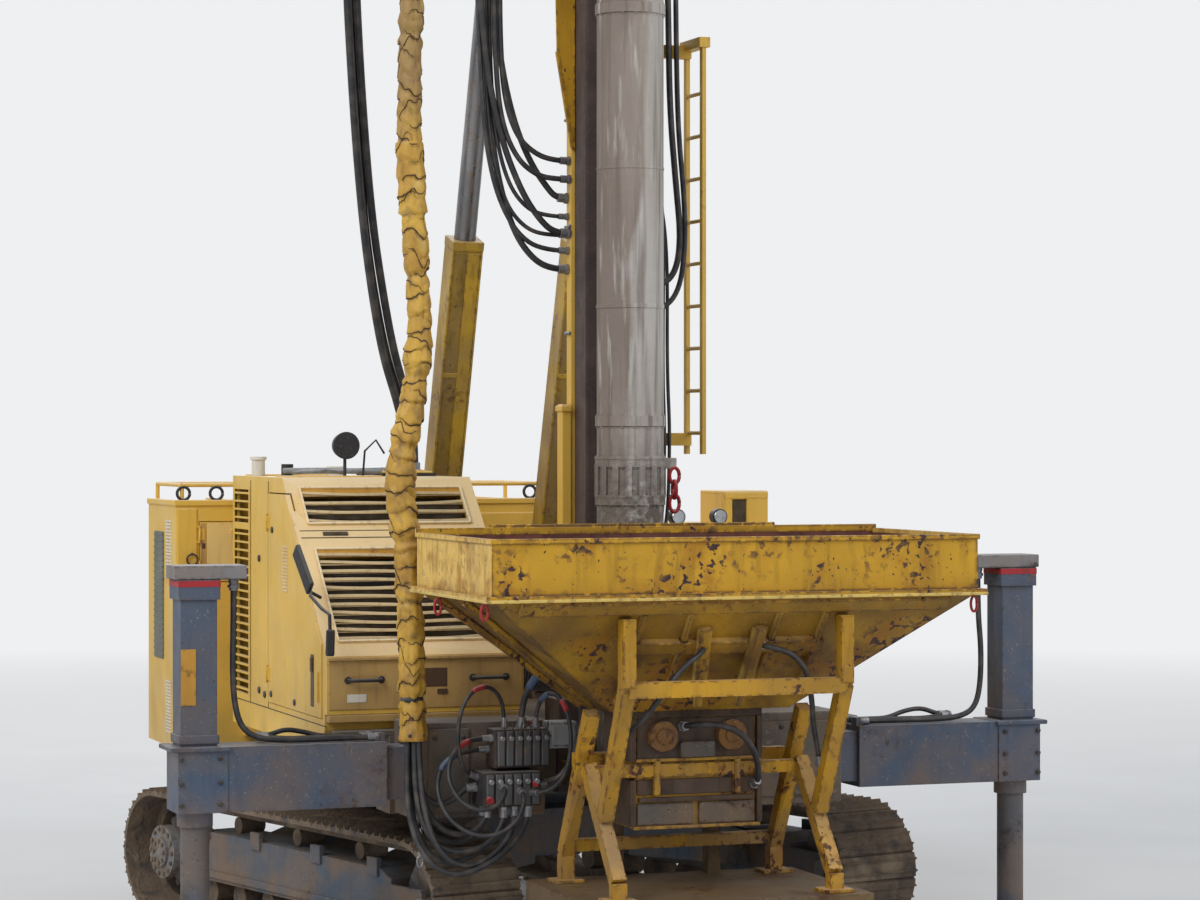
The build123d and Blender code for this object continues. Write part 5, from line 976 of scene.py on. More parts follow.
# ---------------------------------------------------------------- engine hood
hood_left, hood_right, hood_front = -2.02, -0.612, 0.30
face_low, face_high, hood_top, top_front = 1.83, 2.225, 3.43, 1.55
slope = Vector((0, top_front - hood_front, hood_top - face_high)).normalized()
slope_out = Vector((0, -slope.z, slope.y))
hood_middle = (hood_left + hood_right) / 2
# Louvre panels as cut in the CAD: bottom and top up the slope, and the number of slats
louvre_panels = ((0.13, 1.01, 11), (1.26, 1.62, 4))
louvre_left, louvre_right = hood_middle - 0.60, hood_middle + 0.60
panel_corners = [[(louvre_left, low), (louvre_right, low), (louvre_right, high), (louvre_left, high)]
                 for low, high, count in louvre_panels]


def on_slope(x, up, out=0.0):
    """A point on the hood's sloping face: X, the distance up the slope and the height above it."""
    return at(x, hood_front, face_high) + slope * up + slope_out * out


def build_lips(shape):
    """Slats that sag in the middle, each a little differently."""
    steps, half = 24, louvre_right - hood_middle
    for low, high, count in louvre_panels:
        for number in range(count):
            up = low + (number + 0.5) * (high - low) / count
            bend = noise.noise(Vector((number * 1.7, low, 0)))
            line = []
            for k in range(steps + 1):
                x = -half + 2 * half * k / steps
                sag = (0.014 + 0.014 * bend) * (1 - (x / half) ** 2) + 0.006 * math.sin(7 * x + 9 * bend)
                line.append(on_slope(hood_middle + x, up - sag, -0.004) + z_axis * 0.004)
            for a, b in zip(line, line[1:]):
                bar_into(shape, a, b, 0.018, 0.046, z_axis)


def build_screens(shape):
    """Dark screens behind the louvres: painted shade, so that the bay reads black between the slats."""
    for corners in panel_corners:
        shape.faces.new([shape.verts.new(on_slope(*corner, -0.1)) for corner in corners])


def slope_bars(name, look, rows, bevel=0.0):
    """One piece of bars on the sloping face; each row is (start, end, width, depth, side)."""
    def build(shape):
        for start, end, width, depth, side in rows:
            bar_into(shape, on_slope(*start), on_slope(*end), width, depth, side)
    add_mesh(name, "upper", look, build, bevel)


add_mesh("louvre_lips", "upper", "louvre_cream", build_lips)
# Orange bands at the top of each louvre opening: painted shade of its inner top face
slope_bars("louvre_top_bands", "orange_patch_and_shade", [
    ((louvre_left, high - 0.03, -0.001), (louvre_right, high - 0.03, -0.001), 0.055, 0.012, slope)
    for low, high, count in louvre_panels])
slope_bars("louvre_frames", "trim_cream", [
    ((*a, 0.006), (*b, 0.006), 0.03, 0.016, slope_out)
    for corners in panel_corners for a, b in zip(corners, corners[1:] + corners[:1])], 0.003)
add_mesh("louvre_screens", "upper", "seam_dark", build_screens)
slope_bars("slope_seams", "seam_dark", [
    ((hood_left + 0.03, up, 0.001), (hood_right - 0.03, up, 0.001), width, 0.004, slope)
    for up, width in ((1.13, 0.008), (1.2, 0.006))] + [
    ((x - 0.09, 1.165, 0.006), (x + 0.09, 1.165, 0.006), 0.03, 0.012, slope)
    for x in (hood_middle - 0.42, hood_middle + 0.42)], 0.001)

# Front of the hood, counted from its face
front_face = (0, hood_front - 0.002, 0)
boxes("front_panel", "upper", "panel_tan", [
    ((hood_left + 0.012, hood_right - 0.012), (-0.006, 0.012), (face_low + 0.03, face_high - 0.03)),
    ((hood_left + 0.004, hood_right - 0.004), (-0.03, 0.022), (face_high - 0.028, face_high - 0.006))],
      0.005, front_face)
boxes("front_panel_lip", "upper", "panel_tan", [
    ((hood_left + 0.01, hood_right - 0.01), (-0.012, 0.062), (1.775, 1.826))], 0.006, front_face)
# Dark plates standing for the recesses in the front panel: painted shade
boxes("front_recess", "upper", "brown_and_recess_shade", [
    ((-1.33, -1.17), (-0.010, 0.002), (2.005, 2.135)), ((-1.24, -1.17), (-0.016, 0.002), (1.955, 1.99))],
      0.003, front_face)
boxes("front_bare_plate", "upper", "pale_plate", [((-1.88, -1.745), (-0.010, 0.002), (1.91, 1.965))],
      0.002, front_face)
handle_z = 2.062
for number, (left, right) in enumerate(((-1.875, -1.64), (-0.985, -0.745)), 1):
    grip = [(left, 0.005), (left + 0.012, 0.045), (left + 0.04, 0.055),
            (right - 0.04, 0.055), (right - 0.012, 0.045), (right, 0.005)]
    rods(f"front_handle_{number}", "upper", "dark_steel", [
        ([(x, -out, handle_z) for x, out in grip], 0.013),
        *[pin(x, (-0.014, 0.002), handle_z, 0.026) for x in (left, right)]], origin=front_face)

# Side of the hood: seams, the louvre strip, keyholes, and the door with its slits
side_face = (hood_left - 0.002, 0, 0)
door_face = (hood_left - 0.008, 0, 0)
boxes("side_seams", "upper", "seam_dark", [
    ((-0.001, 0.004), (2.49, 2.497), (1.75, 3.40)), ((-0.001, 0.004), (1.945, 1.951), (1.75, 3.40)),
    ((-0.001, 0.004), (0.33, 3.05), (1.745, 1.751))], 0, side_face)
boxes("louvre_strip_bands", "upper", "machine_yellow", [
    ((-0.006, 0.03), (2.545, 2.995), (3.03, 3.08)), ((-0.006, 0.02), (2.515, 2.54), (1.79, 3.34)),
    ((-0.006, 0.02), (3.0, 3.03), (1.79, 3.34))], 0.003, side_face)
boxes("side_slat_lips", "upper", "machine_yellow", [
    ((-0.004, 0.006), (2.545, 2.995), z) for z in spans(1.8255, 1.8405, 0.0612, 25) if not 3.03 < z[0] < 3.08],
      0.002, side_face)
rods("side_keyholes", "upper", "dark_steel", [
    pin((-0.010, 0.004), dy, z, 0.026) for dy, z in ((2.22, 2.83), (2.22, 1.86), (2.05, 1.84))], origin=side_face)
boxes("door_slits", "hood_door", "louvre_cream", [
    ((-0.006, 0.004), (1.36, 1.50), z) for z in spans(2.62, 2.632, 0.024, 14)], 0.001, door_face)
# The flat plate stands for the grip's hollow: painted shade
boxes("door_grip", "hood_door", "brown_and_recess_shade", [
    ((-0.004, 0.004), (0.62, 0.70), (1.86, 2.22)), ((-0.014, 0.004), (0.635, 0.685), (2.10, 2.20))],
      0.003, door_face)
rods("door_locks", "hood_door", "dark_steel", [
    pin((-0.010, 0.004), dy, z, 0.024) for dy, z in ((1.83, 1.86), (1.15, 1.85), (1.80, 3.05))], origin=door_face)

# Roof of the hood: pipes, caps, the round lamp's rings and the bent antenna
rods("roof_pipes", "upper", "rod_grey", [
    ([(-1.78, 2.45, 3.47), (-1.55, 2.2, 3.475), (-1.30, 2.12, 3.47), (-1.05, 2.2, 3.475)], 0.022),
    ([(-1.72, 2.25, 3.465), (-1.45, 2.05, 3.468), (-1.15, 2.0, 3.465)], 0.017),
    ([(-1.85, 1.95, 3.46), (-1.62, 1.88, 3.475), (-1.45, 1.9, 3.46)], 0.014)], 14)
rods("roof_caps", "upper", "pale_plate", [
    pin(-1.9, 2.75, (3.43, 3.55), 0.05), pin(-1.9, 2.75, (3.55, 3.575), 0.062), pin(-1.30, 2.75, (3.43, 3.50), 0.07)])
rods("roof_lamp_ring", "upper", "dark_steel", [
    pin(-1.5, (1.70, 1.72), 3.66, 0.10), pin(-1.5, (1.78, 1.80), 3.66, 0.075)], 32)
rods("roof_antenna", "upper", "dark_steel", [
    ([(-1.35, 1.8, 3.43), (-1.33, 1.82, 3.62), (-1.24, 1.84, 3.70), (-1.17, 1.86, 3.60)], 0.008)], 10)

# Mirrors at the hood's front left corner
rods("mirror_arm", "upper", "dark_steel", [
    ([(-2.02, 0.46, 2.62), (-2.10, 0.42, 2.66), (-2.12, 0.36, 2.64),
      (-2.08, 0.22, 2.56), (-2.04, 0.16, 2.52), (-2.035, 0.15, 2.30)], 0.012)], 12)
bars("mirror_backs", "upper", "dark_steel", [
    ((-2.16, 0.60, 2.95), (-2.11, 0.40, 2.68), 0.035, 0.13),
    ((-2.035, 0.15, 2.42), (-2.04, 0.15, 2.24), 0.06, 0.035)], 0.012)

# ---------------------------------------------------------------- rear cabinet
cabinet_front = (0, 3.58, 0)
cabinet_side = (-2.352, 0, 0)
boxes("cabinet_front_doors", "upper", "machine_yellow", [
    ((-2.345, -2.185), (-0.012, 0.01), (1.36, 3.17)), ((-1.82, -1.60), (-0.07, 0.01), (1.40, 3.12)),
    ((-1.58, -0.95), (-0.012, 0.01), (1.75, 3.15)), ((-0.93, -0.10), (-0.012, 0.01), (1.75, 3.12)),
    ((-0.08, 0.66), (-0.012, 0.01), (1.75, 3.12))], 0.008, cabinet_front)
boxes("cabinet_roof_edge", "upper", "machine_yellow", [
    ((-2.365, 0.715), (-0.016, 0.03), (3.19, 3.235)), ((-2.366, -2.33), (0, 1.02), (3.19, 3.235))],
      0.008, cabinet_front)
boxes("cabinet_side_slits", "upper", "pale_plate", [
    ((-0.006, 0.004), (3.75, 3.93), z) for low, count in ((2.62, 18), (1.42, 16))
    for z in spans(low, low + 0.014, 0.026, count)], 0.001, cabinet_side)
boxes("cabinet_side_grille", "upper", "grille_grey", [((-0.008, 0.004), (4.02, 4.34), (1.98, 2.98))] + [
    ((-0.014, 0), (4.02, 4.34), z) for z in spans(2.0, 2.012, 0.05, 20)], 0.002, cabinet_side)
boxes("cabinet_door_face", "cabinet_door", "door_pale", [((-2.108, -1.845), (-0.011, -0.001), (2.615, 3.055))],
      0.003, cabinet_front)
boxes("cabinet_door_strip", "cabinet_door", "panel_tan", [((-2.158, -2.112), (-0.013, -0.001), (2.615, 3.055))],
      0.002, cabinet_front)
boxes("cabinet_door_switches", "cabinet_door", "brown_and_recess_shade", [
    ((-2.150, -2.120), (-0.017, -0.009), (2.66, 2.74)), ((-2.148, -2.122), (-0.017, -0.009), (2.86, 2.90))],
      0.002, cabinet_front)
boxes("cabinet_controls", "upper", "brown_and_recess_shade", [
    ((-1.79, -1.66), (-0.082, -0.06), (2.62, 3.02)), ((-1.77, -1.68), (-0.094, -0.06), (2.70, 2.80)),
    ((-1.765, -1.685), (-0.094, -0.06), (2.88, 2.96))], 0.004, cabinet_front)
rings("lifting_eyes", "upper", "dark_steel", [
    (x, cabinet_front[1] + 0.05, 3.285, 0.05, 0.05) for x in (-2.28, -2.02, -1.70, 0.55)], 0.012, 20, 10)
pull_x = -2.228
rods("cabinet_pull_ring", "upper", "dark_steel", [
    (oval(pull_x, -0.03, 2.775, 0.042, 0.042, steps=20), 0.007), pin(pull_x, (0.004, -0.038), 2.819, 0.009)],
     8, cabinet_front)

# ---------------------------------------------------------------- outriggers
post_face, post_back, post_width, band_z = (-0.1425, -0.1385), (0.1385, 0.1425), (-0.142, 0.142), (2.735, 2.775)
for side, name in ((-1, "left"), (1, "right")):
    body, post = f"outrigger_{name}", (3.0 * side, 0, 0)
    boxes(f"post_collars_{name}", body, "outrigger_blue", [
        ((-0.135, 0.135), (-0.135, 0.135), (1.70, 1.76)), ((-0.20, 0.20), (-0.20, 0.20), (1.655, 1.685))],
          0.006, post)
    boxes(f"post_cap_plate_{name}", body, "cap_grey", [
        (sorted((-side * 0.32, side * 0.165)), (-0.135, 0.135), (2.784, 2.874))], 0.006, post)
    boxes(f"post_red_band_{name}", body, "red_paint", [
        (post_width, post_face, band_z), (post_width, post_back, band_z),
        (post_face, post_width, band_z), (post_back, post_width, band_z)], 0, post)
    rods(f"post_bolts_{name}", body, "dark_steel", [
        pin(x, (-0.2, -0.183), z, 0.018) for x in (-0.13, 0.13) for z in (1.31, 1.45, 1.61)], 6, post)
    rods(f"post_hose_fitting_{name}", body, "bare_steel", [
        pin(0, 0, (2.78, 2.70), 0.032), pin(0, 0, (2.74, 2.72), 0.042)], 6, (2.74 * side, 0, 0))
boxes("post_bare_panel", "outrigger_left", "orange_patch_and_shade", [((-3.121, -3.02), (-0.1265, -0.12), (1.955, 2.325))], 0.002)

# ---------------------------------------------------------------- skip
skip_half, skip_front, skip_rear, skip_top, skip_lip, skip_throat = 1.647, -2.19, -0.59, 3.09, 2.717, 1.95
throat_half, throat_front, throat_rear = 0.62, -1.50, -0.80
skip_wall, skip_leg_x = 0.012, 0.74


def front_wall_dy(z):
    """The skip's front wall at one height below the lip."""
    return skip_front + (skip_lip - z) / (skip_lip - skip_throat) * (throat_front - skip_front)


def build_skip_lining(shape):
    """A rusty skin inside the skip, 2 mm off its walls."""
    gap = skip_wall + 0.002
    upper_part = (skip_half - gap, skip_front + gap, skip_rear - gap)
    throat = (throat_half - gap - 0.01, throat_front + gap + 0.01, throat_rear - gap - 0.01)
    levels = ((upper_part, skip_top - 0.004), (upper_part, skip_lip + 0.004), (throat, skip_throat + 0.02))
    corners = [[shape.verts.new(at(x, dy, z)) for x, dy in ((-half, low), (half, low), (half, high), (-half, high))]
               for (half, low, high), z in levels]
    join_rings(shape, corners)
    shape.faces.new(corners[-1])


def build_skip_stiffeners(shape):
    for z, half, depth in ((2.40, 0.66, 0.07), (2.66, 1.45, 0.05)):
        dy = front_wall_dy(z) - 0.02
        bar_into(shape, at(-half, dy, z), at(half, dy, z), 0.10, depth, Vector((0, -0.69, 0.77)))
    for x in (-0.62, -0.30, 0.30, 0.62):
        bar_into(shape, *(at(x, front_wall_dy(z) - 0.015, z) for z in (2.62, 2.02)), 0.035, 0.05)
    for side in (-1, 1):
        for reach in (0.35, 0.72):
            top = at(side * (skip_half - 0.005), skip_front + 1.6 * reach, skip_lip - 0.04)
            foot = at(side * (throat_half + 0.035), throat_front + 0.7 * reach, skip_throat + 0.01)
            bar_into(shape, top, foot, 0.05, 0.04, y_axis)


add_mesh("skip_lining", "skip", "skip_inside", build_skip_lining)
skip_length = (skip_front, skip_rear)
rim_z = (skip_top - 0.03, skip_top + 0.004)
ledge_z = (skip_lip - 0.016, skip_lip + 0.004)
boxes("skip_rim", "skip", "skip_yellow", [
    ((-skip_half - 0.012, skip_half + 0.012), (skip_front - 0.014, skip_front + 0.016), rim_z),
    ((-skip_half - 0.014, -skip_half + 0.016), skip_length, rim_z),
    ((skip_half - 0.016, skip_half + 0.014), skip_length, rim_z),
    ((-skip_half - 0.012, skip_half + 0.012), (skip_rear - 0.016, skip_rear + 0.012),
     (skip_top - 0.02, skip_top + 0.03)),
    ((-1.15, 0.9), (skip_rear - 0.012, skip_rear + 0.004), (skip_top, skip_top + 0.05))], 0.005)
boxes("skip_ledge", "skip", "ledge_yellow", [
    ((-skip_half - 0.052, skip_half + 0.052), (skip_front - 0.052, skip_front + 0.004), ledge_z),
    ((-skip_half - 0.052, -skip_half + 0.004), skip_length, ledge_z),
    ((skip_half - 0.004, skip_half + 0.052), skip_length, ledge_z)])
add_mesh("skip_stiffeners", "skip", "skip_yellow", build_skip_stiffeners, bevel=0.004)
rings("skip_loops", "skip", "red_paint", [
    (*place, 0.022, 0.05) for place in ((-1.665, -1.12, 2.63), (-1.665, -2.10, 2.64), (1.655, -2.12, 2.64))], 0.009)

# Hydraulics, the flap gear and the legs under the skip
rods("flap_cylinders", "skip", "skip_yellow", [
    row for high, middle, low in ((-0.18, -0.14, -0.12), (0.20, 0.17, 0.16)) for row in (
        ([(high, -2.02, 2.52), (middle, -1.82, 2.14)], 0.05), ([(middle, -1.82, 2.14), (low, -1.74, 2.0)], 0.028))])
rods("flap_pins", "skip", "flap_orange", [
    pin(x, dy, 1.78, radius) for dy, radius in (((-1.46, -1.40), 0.10), ((-1.475, -1.45), 0.05))
    for x in (-0.24, 0.24)], 28)
boxes("flap_housing", "skip", "flap_brown", [((-0.46, 0.46), (-1.425, -0.90), (1.90, 1.945))] + [
    (x, (-1.43, -0.92), z) for x in ((-0.46, -0.424), (0.424, 0.46)) for z in ((1.20, 1.50), (1.62, 1.90))] + [
    ((-0.41, 0.41), (-1.412, -1.398), (1.61, 1.895)), ((-0.41, 0.41), (-1.412, -1.398), (1.40, 1.50)),
    ((-0.40, 0.40), (-1.44, -1.40), (1.355, 1.385))])
boxes("flap_plates", "skip", "flap_grey", [
    ((-0.41, -0.02), (-1.42, -1.396), (1.205, 1.345)), ((0.02, 0.41), (-1.42, -1.396), (1.205, 1.345)),
    ((-0.12, 0.12), (-1.45, -1.40), (1.64, 1.74))], 0.006)
boxes("flap_bars", "skip", "gold_paint", [
    ((-0.44, 0.44), (-1.445, -1.40), (1.18, 1.20)), ((-0.42, 0.42), (-1.43, -1.40), (1.615, 1.635)),
    ((-0.30, -0.26), (-1.45, -1.40), (1.40, 1.62)), ((0.26, 0.30), (-1.45, -1.40), (1.40, 1.62))])
bars("skip_leg_flanges", "skip", "gold_paint", [
    ((x, *start), (x, *end), 0.086, 0.012)
    for start, end in (((-2.169, 2.16), (-2.169, 2.57)), ((-2.155, 2.15), (-1.755, 1.30)))
    for x in (-skip_leg_x, skip_leg_x)], 0.003)
boxes("skip_feet", "skip", "gold_paint", [
    ((x - 0.105, x + 0.105), (dy - 0.09, dy + 0.09), (0.801, 0.822))
    for x in (-skip_leg_x, skip_leg_x) for dy in (-0.96, -1.96)], 0.003)

# ---------------------------------------------------------------- leader, string and stays
leader_half, leader_front, leader_rear, leader_high = 0.20, 0.15, 0.50, 15.6
string_dy = -0.18


def build_leader_ribs(shape):
    """Strips along three of the leader's edges, and a thin rib across its front each 1.5 m."""
    for side, dy in ((-1, leader_front + 0.02), (1, leader_front + 0.02), (1, leader_rear - 0.02)):
        x = side * (leader_half + 0.002)
        bar_into(shape, at(x, dy, 2.0), at(x, dy, leader_high - 0.1), 0.012, 0.035)
    for z in spans(2.5, 2.53, 1.5, 9):
        box_into(shape, (-leader_half - 0.004, leader_half + 0.004), (leader_front + 0.05, leader_front + 0.06), z)


def build_string_bolts(shape):
    """Bolts round each flange of the string."""
    for z in (3.29, 3.55, 3.83, 6.65, 9.47):
        for a in turns(16, 0.5):
            place = at(0.225 * math.cos(a), string_dy + 0.225 * math.sin(a), z - 0.048)
            tube_into(shape, [place, place + z_axis * 0.096], 0.014, 6)


add_mesh("leader_ribs", "leader", "leader_rust", build_leader_ribs, bevel=0.003)
add_mesh("string_bolts", "vibrator", "string_steel", build_string_bolts)

# The stays' lines: the foot and the head as (Y from the beam plane, Z), and one metre along the line
stays_x = (-0.46, 0.46)
stay_foot, stay_head = (3.13, 2.10), (0.90, 9.19)
stay_length = math.dist(stay_foot, stay_head)
stay_step = [(head - foot) / stay_length for foot, head in zip(stay_foot, stay_head)]


def on_stay(x, distance, proud=0.0):
    """A point along a stay, proud of its line towards the front."""
    return (x, stay_foot[0] + stay_step[0] * distance - stay_step[1] * proud,
            stay_foot[1] + stay_step[1] * distance + stay_step[0] * proud)


barrel_front = 0.10
bars("stay_collars", "stay_barrels", "stay_paint", [
    (on_stay(x, start), on_stay(x, end), width, width - 0.02) for x in stays_x
    for start, end, width in ((3.19, 3.26, 0.245), (2.2, 2.24, 0.235), (0.9, 0.94, 0.235))], 0.006)
bars("stay_fronts", "stay_barrels", "stay_paint", [
    (on_stay(x + 0.052, 0.3, barrel_front), on_stay(x + 0.052, 3.17, barrel_front), 0.096, 0.018) for x in stays_x])
# Brown strips on the left half of each barrel's front: painted shade of its left face, with dirt runs
bars("stay_shade_strips", "stay_barrels", "stay_painted_shade", [
    (on_stay(x - 0.052, 0.3, barrel_front), on_stay(x - 0.052, 3.17, barrel_front), 0.10, 0.006) for x in stays_x], 0)
bars("stay_barrel_edges", "stay_barrels", "stay_paint", [
    (on_stay(x + dx, 0.3), on_stay(x + dx, 3.19), 0.016, 0.215) for x in stays_x for dx in (-0.112, 0.112)])

# ---------------------------------------------------------------- undercarriage
hub_x, hub_y, hub_z = 1.75, 1.85, 0.5


def under(x, y, z):
    """A point of the undercarriage: across, to the rear of the slewing axis, and up."""
    cosine, sine = math.cos(track_turn), math.sin(track_turn)
    return at(x * cosine - y * sine, slew_dy + x * sine + y * cosine, z)


def build_hub_bolts(shape):
    """Two circles of bolts on each drive hub."""
    for side in (-1, 1):
        for count, ring, reach in ((14, 0.175, 0.262), (8, 0.085, 0.287)):
            for a in turns(count):
                place = (hub_y + ring * math.cos(a), hub_z + ring * math.sin(a))
                tube_into(shape, [under(side * (hub_x + reach + out), *place) for out in (-0.02, 0.012)], 0.017, 6)


def build_carrier_brackets(shape):
    across = under(1, 0, 0) - under(0, 0, 0)
    for x in (-1.94, 1.94):
        for y in (-1.25, -0.45, 0.45, 1.25):
            bar_into(shape, under(x, y - 0.07, 0.72), under(x, y + 0.07, 0.72), 0.04, 0.13, across)
        rail = x + math.copysign(0.005, x)
        bar_into(shape, under(rail, -1.35, 0.40), under(rail, 1.35, 0.40), 0.03, 0.05, across)


add_mesh("hub_bolts", "undercarriage", "track_steel", build_hub_bolts)
add_mesh("carrier_brackets", "undercarriage", "undercarriage_grey", build_carrier_brackets, bevel=0.004)

# ---------------------------------------------------------------- valve block and frame front
low_valves, high_valves = [[first + k * pitch for k in range(6)] for first, pitch in ((-1.11, 0.064), (-1.005, 0.062))]
boxes("valve_sections", "upper", "valve_steel", [
    ((x - 0.025, x + 0.027), (-0.50, -0.24), (1.262, 1.468)) for x in low_valves] + [
    ((x - 0.025, x + 0.025), (-0.415, -0.24), (1.512, 1.748)) for x in high_valves], 0.006)
rods("valve_spools", "upper", "bare_steel", [pin(x, (-0.535, -0.498), 1.42, 0.02) for x in low_valves] + [
    pin(x, (-0.45, -0.41), 1.70, 0.019) for x in high_valves], 6)
rods("valve_levers", "upper", "dark_steel", [
    ([(x, -0.44, 1.70), (x, -0.475, 1.79 + 0.012 * (k % 3))], 0.006) for k, x in enumerate(high_valves)], 8)
rods("valve_red_caps", "upper", "red_paint", [
    pin(-1.12, (-0.50, -0.54), 1.30, 0.026), pin(-0.80, (-0.50, -0.53), 1.40, 0.022),
    pin(-0.74, -0.30, (1.76, 1.80), 0.024)], 12)
boxes("junction_box", "upper", "rod_grey", [
    ((-0.66, -0.46), (-0.40, -0.24), (1.62, 1.80)), ((-0.645, -0.475), (-0.412, -0.39), (1.64, 1.78))], 0.01)
boxes("frame_front_plates", "upper", "chassis_grey", [
    ((-1.46, -1.18), (-0.246, -0.222), (1.20, 1.76)), ((0.68, 1.52), (-0.246, -0.222), (1.22, 1.74))], 0.006)
rods("frame_front_bolts", "upper", "dark_steel", [
    pin(x, (-0.262, -0.24), z, 0.017) for x in (-1.42, -1.22, 0.73, 1.1, 1.47) for z in (1.26, 1.70)], 6)
rings("frame_chain", "upper", "bare_steel", [
    (-1.52, -0.235, 1.125 - k * 0.062, 0.02, 0.036, k % 2) for k in range(5)], 0.008)
boxes("chain_lug", "upper", "chassis_grey", [((-1.545, -1.495), (-0.245, -0.215), (1.145, 1.20))])

# ---------------------------------------------------------------- foot of the string, and the leader's fittings


def build_string_fins(shape):
    """Fins between the bands of the string's foot, and the bands themselves."""
    for a in turns(16):
        out = Vector((math.cos(a), math.sin(a), 0))
        foot = at(0, string_dy, 3.31) + out * 0.236
        bar_into(shape, foot, foot + z_axis * 0.225, 0.045, 0.02, Vector((-out.y, out.x, 0)))
    for z, radius, tall in ((3.565, 0.246, 0.022), (3.30, 0.244, 0.02), (4.6, 0.2345, 0.03), (5.55, 0.2335, 0.02),
                            (7.6, 0.2345, 0.03), (8.5, 0.2335, 0.02), (10.4, 0.2345, 0.03), (11.4, 0.2335, 0.02)):
        tube_into(shape, [at(0, string_dy, z), at(0, string_dy, z + tall)], radius, 48)


def build_arm_plate(shape):
    """A tapering plate beside the leader, under the hose arm, with a folded edge."""
    outline = ((-0.206, 5.72), (-0.228, 5.74), (-0.34, 6.42), (-0.36, 7.3), (-0.30, 7.9), (-0.206, 8.0))
    sides = [[shape.verts.new(at(x, dy, z)) for x, z in outline] for dy in (0.372, 0.39)]
    shape.faces.new(sides[0])
    shape.faces.new(sides[1])
    join_rings(shape, sides)
    bar_into(shape, at(-0.226, 0.385, 5.75), at(-0.338, 0.385, 6.42), 0.018, 0.03)


add_mesh("string_fins", "vibrator", "string_steel", build_string_fins, bevel=0.003)
rings("string_shackle", "vibrator", "red_paint", [
    (0.285, -0.285, z, 0.036, tall, turned)
    for z, tall, turned in ((3.455, 0.055, False), (3.36, 0.06, True), (3.265, 0.06, False))], 0.013, sides=10)
bars("string_shackle_lug", "vibrator", "string_steel", [((0.19, -0.265, 3.54), (0.30, -0.285, 3.54), 0.02, 0.075)])
boxes("gusset_plates", "leader", "machine_yellow", [
    ((-0.30, -0.232), (0.38, 0.49), (3.02, 3.95)), ((-0.312, -0.235), (0.36, 0.50), (3.02, 3.06)),
    ((-0.312, -0.235), (0.36, 0.50), (3.9, 3.94))], 0.006)
add_mesh("arm_plate", "leader", "arm_gold", build_arm_plate, bevel=0.003)
rods("duct_clips", "leader", "bare_steel", [
    pin(-0.236, (0.40, 0.50), 2.2 + 0.75 * k, 0.012) for k in range(17)], 8)

# ---------------------------------------------------------------- winch, leader head and hose arm
sheaves_dy, sheave_z = (-0.08, 0.6), 15.9
saddle_x, saddle_z = -0.9, 9.62


def build_winch_rope(shape):
    for k in range(21):
        ring_into(shape, at(-0.245 + 0.0235 * k, 1.56, 2.06), x_axis, 0.198, 0.0115, 48)


def build_sheave_rims(shape):
    for dy in sheaves_dy:
        for x in (-0.06, 0.06):
            for dx in (-0.022, 0.022):
                ring_into(shape, at(x + dx, dy, sheave_z), x_axis, 0.187, 0.01, 48)


def build_saddle_rims(shape):
    for dy, radius, thickness in ((-0.135, 0.42, 0.02), (0.35, 0.42, 0.02), (0.1, 0.424, 0.008)):
        ring_into(shape, at(saddle_x, dy, saddle_z), y_axis, radius, thickness, 56)


add_mesh("winch_rope", "winch", "bare_steel", build_winch_rope, smooth=True)
add_mesh("sheave_rims", "leader", "bare_steel", build_sheave_rims, smooth=True)
rods("sheave_pins", "leader", "bare_steel", [pin((-0.17, 0.17), dy, sheave_z, 0.045) for dy in sheaves_dy], 24)
add_mesh("saddle_rims", "leader", "machine_yellow", build_saddle_rims, smooth=True)
boxes("leader_joints", "leader", "leader_rust", [
    ((-0.215, 0.215), (0.145, 0.51), (z + rise, z + rise + 0.05))
    for rise in (0, 0.07) for z in (6.9, 10.6, 13.3)], 0.005)

# ---------------------------------------------------------------- cab
cab_left, cab_right, cab_front, cab_rear = 0.95, 1.95, 1.60, 3.20
lamps_x, lamp_z = (1.08, 1.42), 3.12
boxes("cab_roof_edge", "upper", "machine_yellow", [
    ((cab_left - 0.02, cab_right + 0.02), (cab_front + 0.09, cab_rear + 0.02), (3.005, 3.045))], 0.014)
boxes("cab_roof_unit_front", "upper", "machine_yellow", [
    ((1.575, 1.64), (1.975, 2.01), (3.045, 3.285)), ((1.755, 1.935), (1.975, 2.01), (3.045, 3.285)),
    ((1.575, 1.935), (1.97, 2.01), (3.245, 3.305)), ((1.575, 1.935), (1.975, 2.5), (3.28, 3.31))], 0.012)
boxes("cab_roof_unit_grille", "upper", "seam_dark", [((1.645, 1.75), (1.988, 2.004), (3.05, 3.24))] + [
    ((1.936, 1.944), dy, (3.06, 3.26)) for dy in spans(2.05, 2.07, 0.045, 9)], 0.002)
boxes("cab_seams", "upper", "seam_dark", [
    (x, (cab_front + 0.13, cab_rear - 0.02), (1.60, 1.608))
    for x in ((cab_right - 0.002, cab_right + 0.004), (cab_left - 0.004, cab_left + 0.002))], 0)
rods("cab_lamps", "upper", "dark_steel", [
    pin(x, (cab_front + 0.09, cab_front + 0.17), lamp_z, 0.06) for x in lamps_x], 24)
rods("cab_lamp_glasses", "upper", "mirror_glass", [
    pin(x, (cab_front + 0.082, cab_front + 0.092), lamp_z, 0.05) for x in lamps_x], 24)
rods("cab_lamp_feet", "upper", "dark_steel", [pin(x, cab_front + 0.13, (3.04, 3.08), 0.012) for x in lamps_x], 10)
rods("cab_grab_rail", "upper", "dark_steel", [
    ([(0.004, 1.78, 1.75), (0.05, 1.77, 1.80), (0.055, 1.765, 2.2), (0.05, 1.77, 2.55), (0.004, 1.78, 2.60)], 0.014)],
     12, (cab_right, 0, 0))
